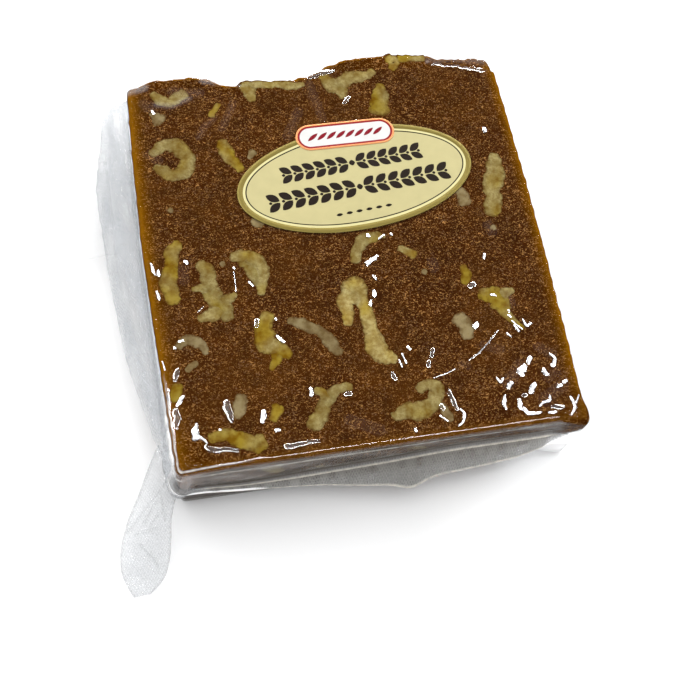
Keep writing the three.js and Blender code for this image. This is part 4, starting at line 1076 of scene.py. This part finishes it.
def label(name, outline, profile, middle, turn, material):
    """A closed paper disc of rings, from the middle of its underside round its edge to the middle of
    its top. Each row of the profile is an inset, a share of the way from the middle, and a height."""
    points, reach = [], []
    for inset, share, height in profile:
        points.append(label_place(outline(inset) * share, middle, turn, height))
        reach.append(np.full(len(points[-1]), inset if share == 1 else 9.0))
    around = len(points[0])
    ring = np.arange(around)
    quads = np.concatenate([np.stack([ring + n * around, np.roll(ring, -1) + n * around,
                                      np.roll(ring, -1) + (n + 1) * around, ring + (n + 1) * around], -1)
                            for n in range(len(profile) - 1)])
    ends = [tuple(ring[::-1].tolist()), tuple((ring + (len(profile) - 1) * around).tolist())]
    return make_piece(name, np.concatenate(points), quads.tolist() + ends, material,
                      {"from_rim": np.concatenate(reach)})


def banded_paper(name, bands, sheen):
    """Printed satin paper whose colour goes by the distance from its rim: pairs of the millimetres
    at which a colour starts and the colour. sheen is how metallic the first band is."""
    material, tree, shader, coords = new_material(name, Roughness=0.4, IOR=1.45, Specular_IOR_Level=0.05)
    reach = attribute(tree, "from_rim")
    colour = bands[0][1]
    for start, tone in bands[1:]:
        past = ramp(tree, reach, start - 0.03, start + 0.03)
        colour = blend_colour(tree, past, colour, tone)
    fibre = ramp(tree, noise(tree, coords, 3.5, 3.0), 0.3, 0.7, 0.93, 1.0)
    tree.links.new(blend_colour(tree, 1.0, colour, fibre, "MULTIPLY"), shader.inputs["Base Color"])
    metal = ramp(tree, reach, bands[1][0] + 0.03, bands[1][0] - 0.03, 0.0, sheen)
    tree.links.new(metal, shader.inputs["Metallic"])
    relief(tree, shader, noise(tree, coords, 1.2, 3.0), 0.15, 0.0001)
    return material


# Heights of the paper, the plaque and the print over the sticker's bed.
PAPER, PLAQUE, PRINT = 0.16, 0.30, 0.02
# Rows round a label: inset from its edge, share of the way out from its middle, and height.
OVAL_PROFILE = [(3.5, share, 0.02) for share in (0.02, 0.5, 1)]
OVAL_PROFILE += [(inset, 1, height) for inset, height in (
    (0.08, 0.02), (0, 0.05), (0, 0.15), (0.08, 0.19), (0.3, 0.24), (0.6, 0.27), (0.9, 0.27), (1.2, 0.24),
    (1.5, 0.18), (1.65, PAPER), (2.0, 0.19), (2.3, 0.19), (2.5, PAPER), (2.6, PAPER), (2.95, PAPER))]
OVAL_PROFILE += [(3.5, share, PAPER)
                 for share in (1, 0.92, 0.84, 0.75, 0.66, 0.56, 0.46, 0.35, 0.24, 0.12, 0.02)]
PLAQUE_PROFILE = [(1.6, 0.02, 0.17)]
PLAQUE_PROFILE += [(inset, 1, height) for inset, height in (
    (1.6, 0.17), (0.06, 0.17), (0, 0.20), (0, 0.27), (0.06, PLAQUE), (0.3, 0.32), (0.5, 0.32),
    (0.6, PLAQUE), (1.1, PLAQUE))]
PLAQUE_PROFILE += [(1.6, share, PLAQUE) for share in (1, 0.75, 0.5, 0.25, 0.02)]
oval_paper = banded_paper("cream_label", (
    (0, (0.130, 0.100, 0.022, 1)), (1.62, (0.60, 0.55, 0.27, 1)), (2.30, (0.012, 0.009, 0.003, 1)),
    (2.66, (0.470, 0.418, 0.205, 1))), 0.2)
plaque_paper = banded_paper("plaque_label", (
    (0, (0.50, 0.205, 0.080, 1)), (0.55, (0.245, 0.008, 0.010, 1)), (1.15, (0.64, 0.63, 0.61, 1))), 0.15)
label_oval = label("label_oval", oval(STICKER_HALF), OVAL_PROFILE, STICKER_MIDDLE, STICKER_TURN, oval_paper)
label_plaque = label("label_plaque", bar(PLAQUE_HALF), PLAQUE_PROFILE, PLAQUE_MIDDLE, PLAQUE_TURN,
                     plaque_paper)


def leaf(x, y, length, width, turn, steps=9):
    """The outline of a leaf: two arcs that meet in a point at both ends."""
    share = np.linspace(0, 1, steps)
    half = width / 2 * np.sin(np.pi * share) ** 0.75
    along = np.concatenate([share, share[-2:0:-1]]) * length
    across = np.concatenate([half, -half[-2:0:-1]])
    return np.stack([x + along * np.cos(turn) - across * np.sin(turn),
                     y + along * np.sin(turn) + across * np.cos(turn)], -1)[::-1]


def garland(half, y, pairs, length, width, lean):
    """A row of leaf pairs that point outwards from its middle, with a berry between them."""
    shapes = [leaf(-0.9, y, 1.8, 1.8, 0)]
    for side in (-1, 1):
        for x in np.linspace(1.2, half - length * np.cos(lean), pairs):
            for up in (-1, 1):
                turn = up * lean if side > 0 else np.pi - up * lean
                shapes.append(leaf(side * x, y + up * 0.25, length, width, turn))
            shapes.append(leaf(side * (x + length * 0.62) - 0.5, y, 1.0, 0.9, 0))
    return shapes


def print_piece(name, shapes, middle, turn, base, tone):
    """Flat printed shapes with a hair's thickness, laid on a label."""
    material, _, shader, _ = new_material(name + "_ink", Roughness=0.4, IOR=1.45, Specular_IOR_Level=0.03)
    shader.inputs["Base Color"].default_value = tone
    points, faces, count = [], [], 0
    for shape in shapes:
        size = len(shape)
        points += [label_place(shape, middle, turn, base), label_place(shape, middle, turn, base + PRINT)]
        ring = range(size)
        faces.append([count + n for n in reversed(ring)])
        faces.append([count + size + n for n in ring])
        faces += [[count + n, count + (n + 1) % size, count + size + (n + 1) % size, count + size + n]
                  for n in ring]
        count += 2 * size
    faces = [face[::-1] for face in faces]
    return make_piece(name, np.concatenate(points), faces, material, smooth=False)


leaves = garland(20.6, 4.7, 6, 3.9, 2.1, 0.62) + garland(26.4, -3.3, 7, 4.2, 2.3, 0.62)
leaves += [leaf(x, -10.7, 1.9, 0.9, 0) for x in np.linspace(-8.9, 5.3, 6)]
label_leaves = print_piece("label_leaves", leaves, STICKER_MIDDLE, STICKER_TURN, PAPER,
                           (0.012, 0.007, 0.004, 1))
rope = [leaf(x, -1.15, 3.9, 1.15, 0.62) for x in np.linspace(-11.0, 7.9, 8)]
label_rope = print_piece("label_rope", rope, PLAQUE_MIDDLE, PLAQUE_TURN, PLAQUE, (0.19, 0.004, 0.012, 1))
for piece in (label_oval, label_plaque, label_leaves, label_rope):
    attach(piece, "root")
    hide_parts("sticker")


# ---- Floor, light and camera -------------------------------------------------------------------
# A plain pale table in a tent of soft light. Four strips stand round the mirror image of the camera:
# the film's edges and puckers catch them, and its flat top stays clear. A pool of light on the table
# thins the shadow at the near right.
TABLE_HALF = 3000


def make_floor():
    """A wide flat table, TABLE_HALF either way and just under the slab."""
    material, _, shader, _ = new_material("pale_table", Roughness=0.9, Specular_IOR_Level=0.0)
    shader.inputs["Base Color"].default_value = (0.93, 0.933, 0.937, 1)
    corners = [(x * TABLE_HALF, y * TABLE_HALF, -0.1) for x, y in ((-1, -1), (1, -1), (1, 1), (-1, 1))]
    floor = make_piece("table_top", corners, [(0, 1, 2, 3)], material, smooth=False)


def soft_box(name, direction, size, along, radiance, distance, mirrored):
    """An area light that faces the slab from a direction, of a size in metres, whose first side runs
    along an axis. It is either seen in mirrors and lights nothing, or lights and isn't mirrored."""
    light = bpy.data.lights.new(name, "AREA")
    light.shape = "RECTANGLE"
    light.size, light.size_y = size
    light.energy = radiance * np.pi * size[0] * size[1]
    lamp = bpy.data.objects.new(name, light)
    away = Vector(direction).normalized()
    first = (Vector(along) - away * away.dot(Vector(along))).normalized()
    turned = Matrix((first, away.cross(first), away)).transposed().to_4x4()
    lamp.matrix_world = Matrix.Translation(Vector((0, 0, 0.02)) + away * distance) @ turned
    lamp.visible_glossy = mirrored
    lamp.visible_diffuse = not mirrored
    bpy.context.scene.collection.objects.link(lamp)


make_floor()
soft_box("tent_top", (0.05, 0.45, 1.0), (3.0, 3.0), (1, 0, 0), 2.1, 1.7, False)
soft_box("tent_left", (-1.0, 0.0, 0.45), (3.0, 1.4), (0, 1, 0), 1.2, 1.8, False)
soft_box("tent_right", (1.0, 0.0, 0.45), (3.0, 1.4), (0, 1, 0), 1.2, 1.8, False)
soft_box("tent_far", (0.0, 1.0, 0.45), (3.0, 1.4), (1, 0, 0), 1.7, 1.8, False)
soft_box("tent_near", (0.0, -1.0, 0.45), (3.0, 1.4), (1, 0, 0), 1.15, 1.8, False)
soft_box("far_strip", (0.25, 1.50, 1.0), (1.20, 0.36), (1, 0, 0), 26.0, 1.1, True)
soft_box("left_strip", (-0.48, 0.35, 1.0), (0.90, 0.30), (0, 1, 0), 26.0, 1.1, True)
soft_box("right_strip", (0.98, 0.50, 1.0), (0.90, 0.28), (0, 1, 0), 22.0, 1.1, True)
soft_box("near_strip", (0.20, -0.18, 1.0), (1.00, 0.24), (1, 0, 0), 18.0, 1.1, True)

pool = bpy.data.lights.new("table_pool", "SPOT")
pool.energy, pool.spot_size, pool.spot_blend, pool.shadow_soft_size = 4.5, 0.17, 1.0, 0.02
pool_lamp = bpy.data.objects.new("table_pool", pool)
pool_lamp.location = (0.052, -0.094, 0.45)
pool_lamp.visible_glossy = False
bpy.context.scene.collection.objects.link(pool_lamp)

world = bpy.data.worlds.new("dim_room")
bpy.context.scene.world = world
world.use_nodes = True
room = world.node_tree.nodes["Background"]
seen = add_node(world.node_tree, "ShaderNodeLightPath").outputs["Is Camera Ray"]
strength = add_node(world.node_tree, "ShaderNodeMapRange", {"Value": seen, "To Min": 0.05, "To Max": 1.0})
world.node_tree.links.new(strength.outputs["Result"], room.inputs["Strength"])
room.inputs["Color"].default_value = (1, 1, 1, 1)

CAMERA_PLACE = (-50.09, -125.74, 271.07)
CAMERA_RIGHT = (0.97798, -0.17694, 0.11063)
CAMERA_DOWN = (-0.12220, -0.91533, -0.38372)
CAMERA_AHEAD = (0.16916, 0.36175, -0.91680)
FOCAL_PIXELS, IMAGE_PIXELS, SENSOR = 1020.35, 700.0, 36.0
camera_data = bpy.data.cameras.new("camera")
camera_data.sensor_width = SENSOR
camera_data.lens = FOCAL_PIXELS / IMAGE_PIXELS * SENSOR
camera_data.clip_start = 0.01
camera = bpy.data.objects.new("camera", camera_data)
axes = Matrix((CAMERA_RIGHT, [-c for c in CAMERA_DOWN], [-c for c in CAMERA_AHEAD])).transposed().to_4x4()
camera.matrix_world = Matrix.Translation(Vector(CAMERA_PLACE) * 0.001) @ axes
bpy.context.scene.collection.objects.link(camera)
bpy.context.scene.camera = camera
bpy.context.scene.view_settings.view_transform = "Standard"
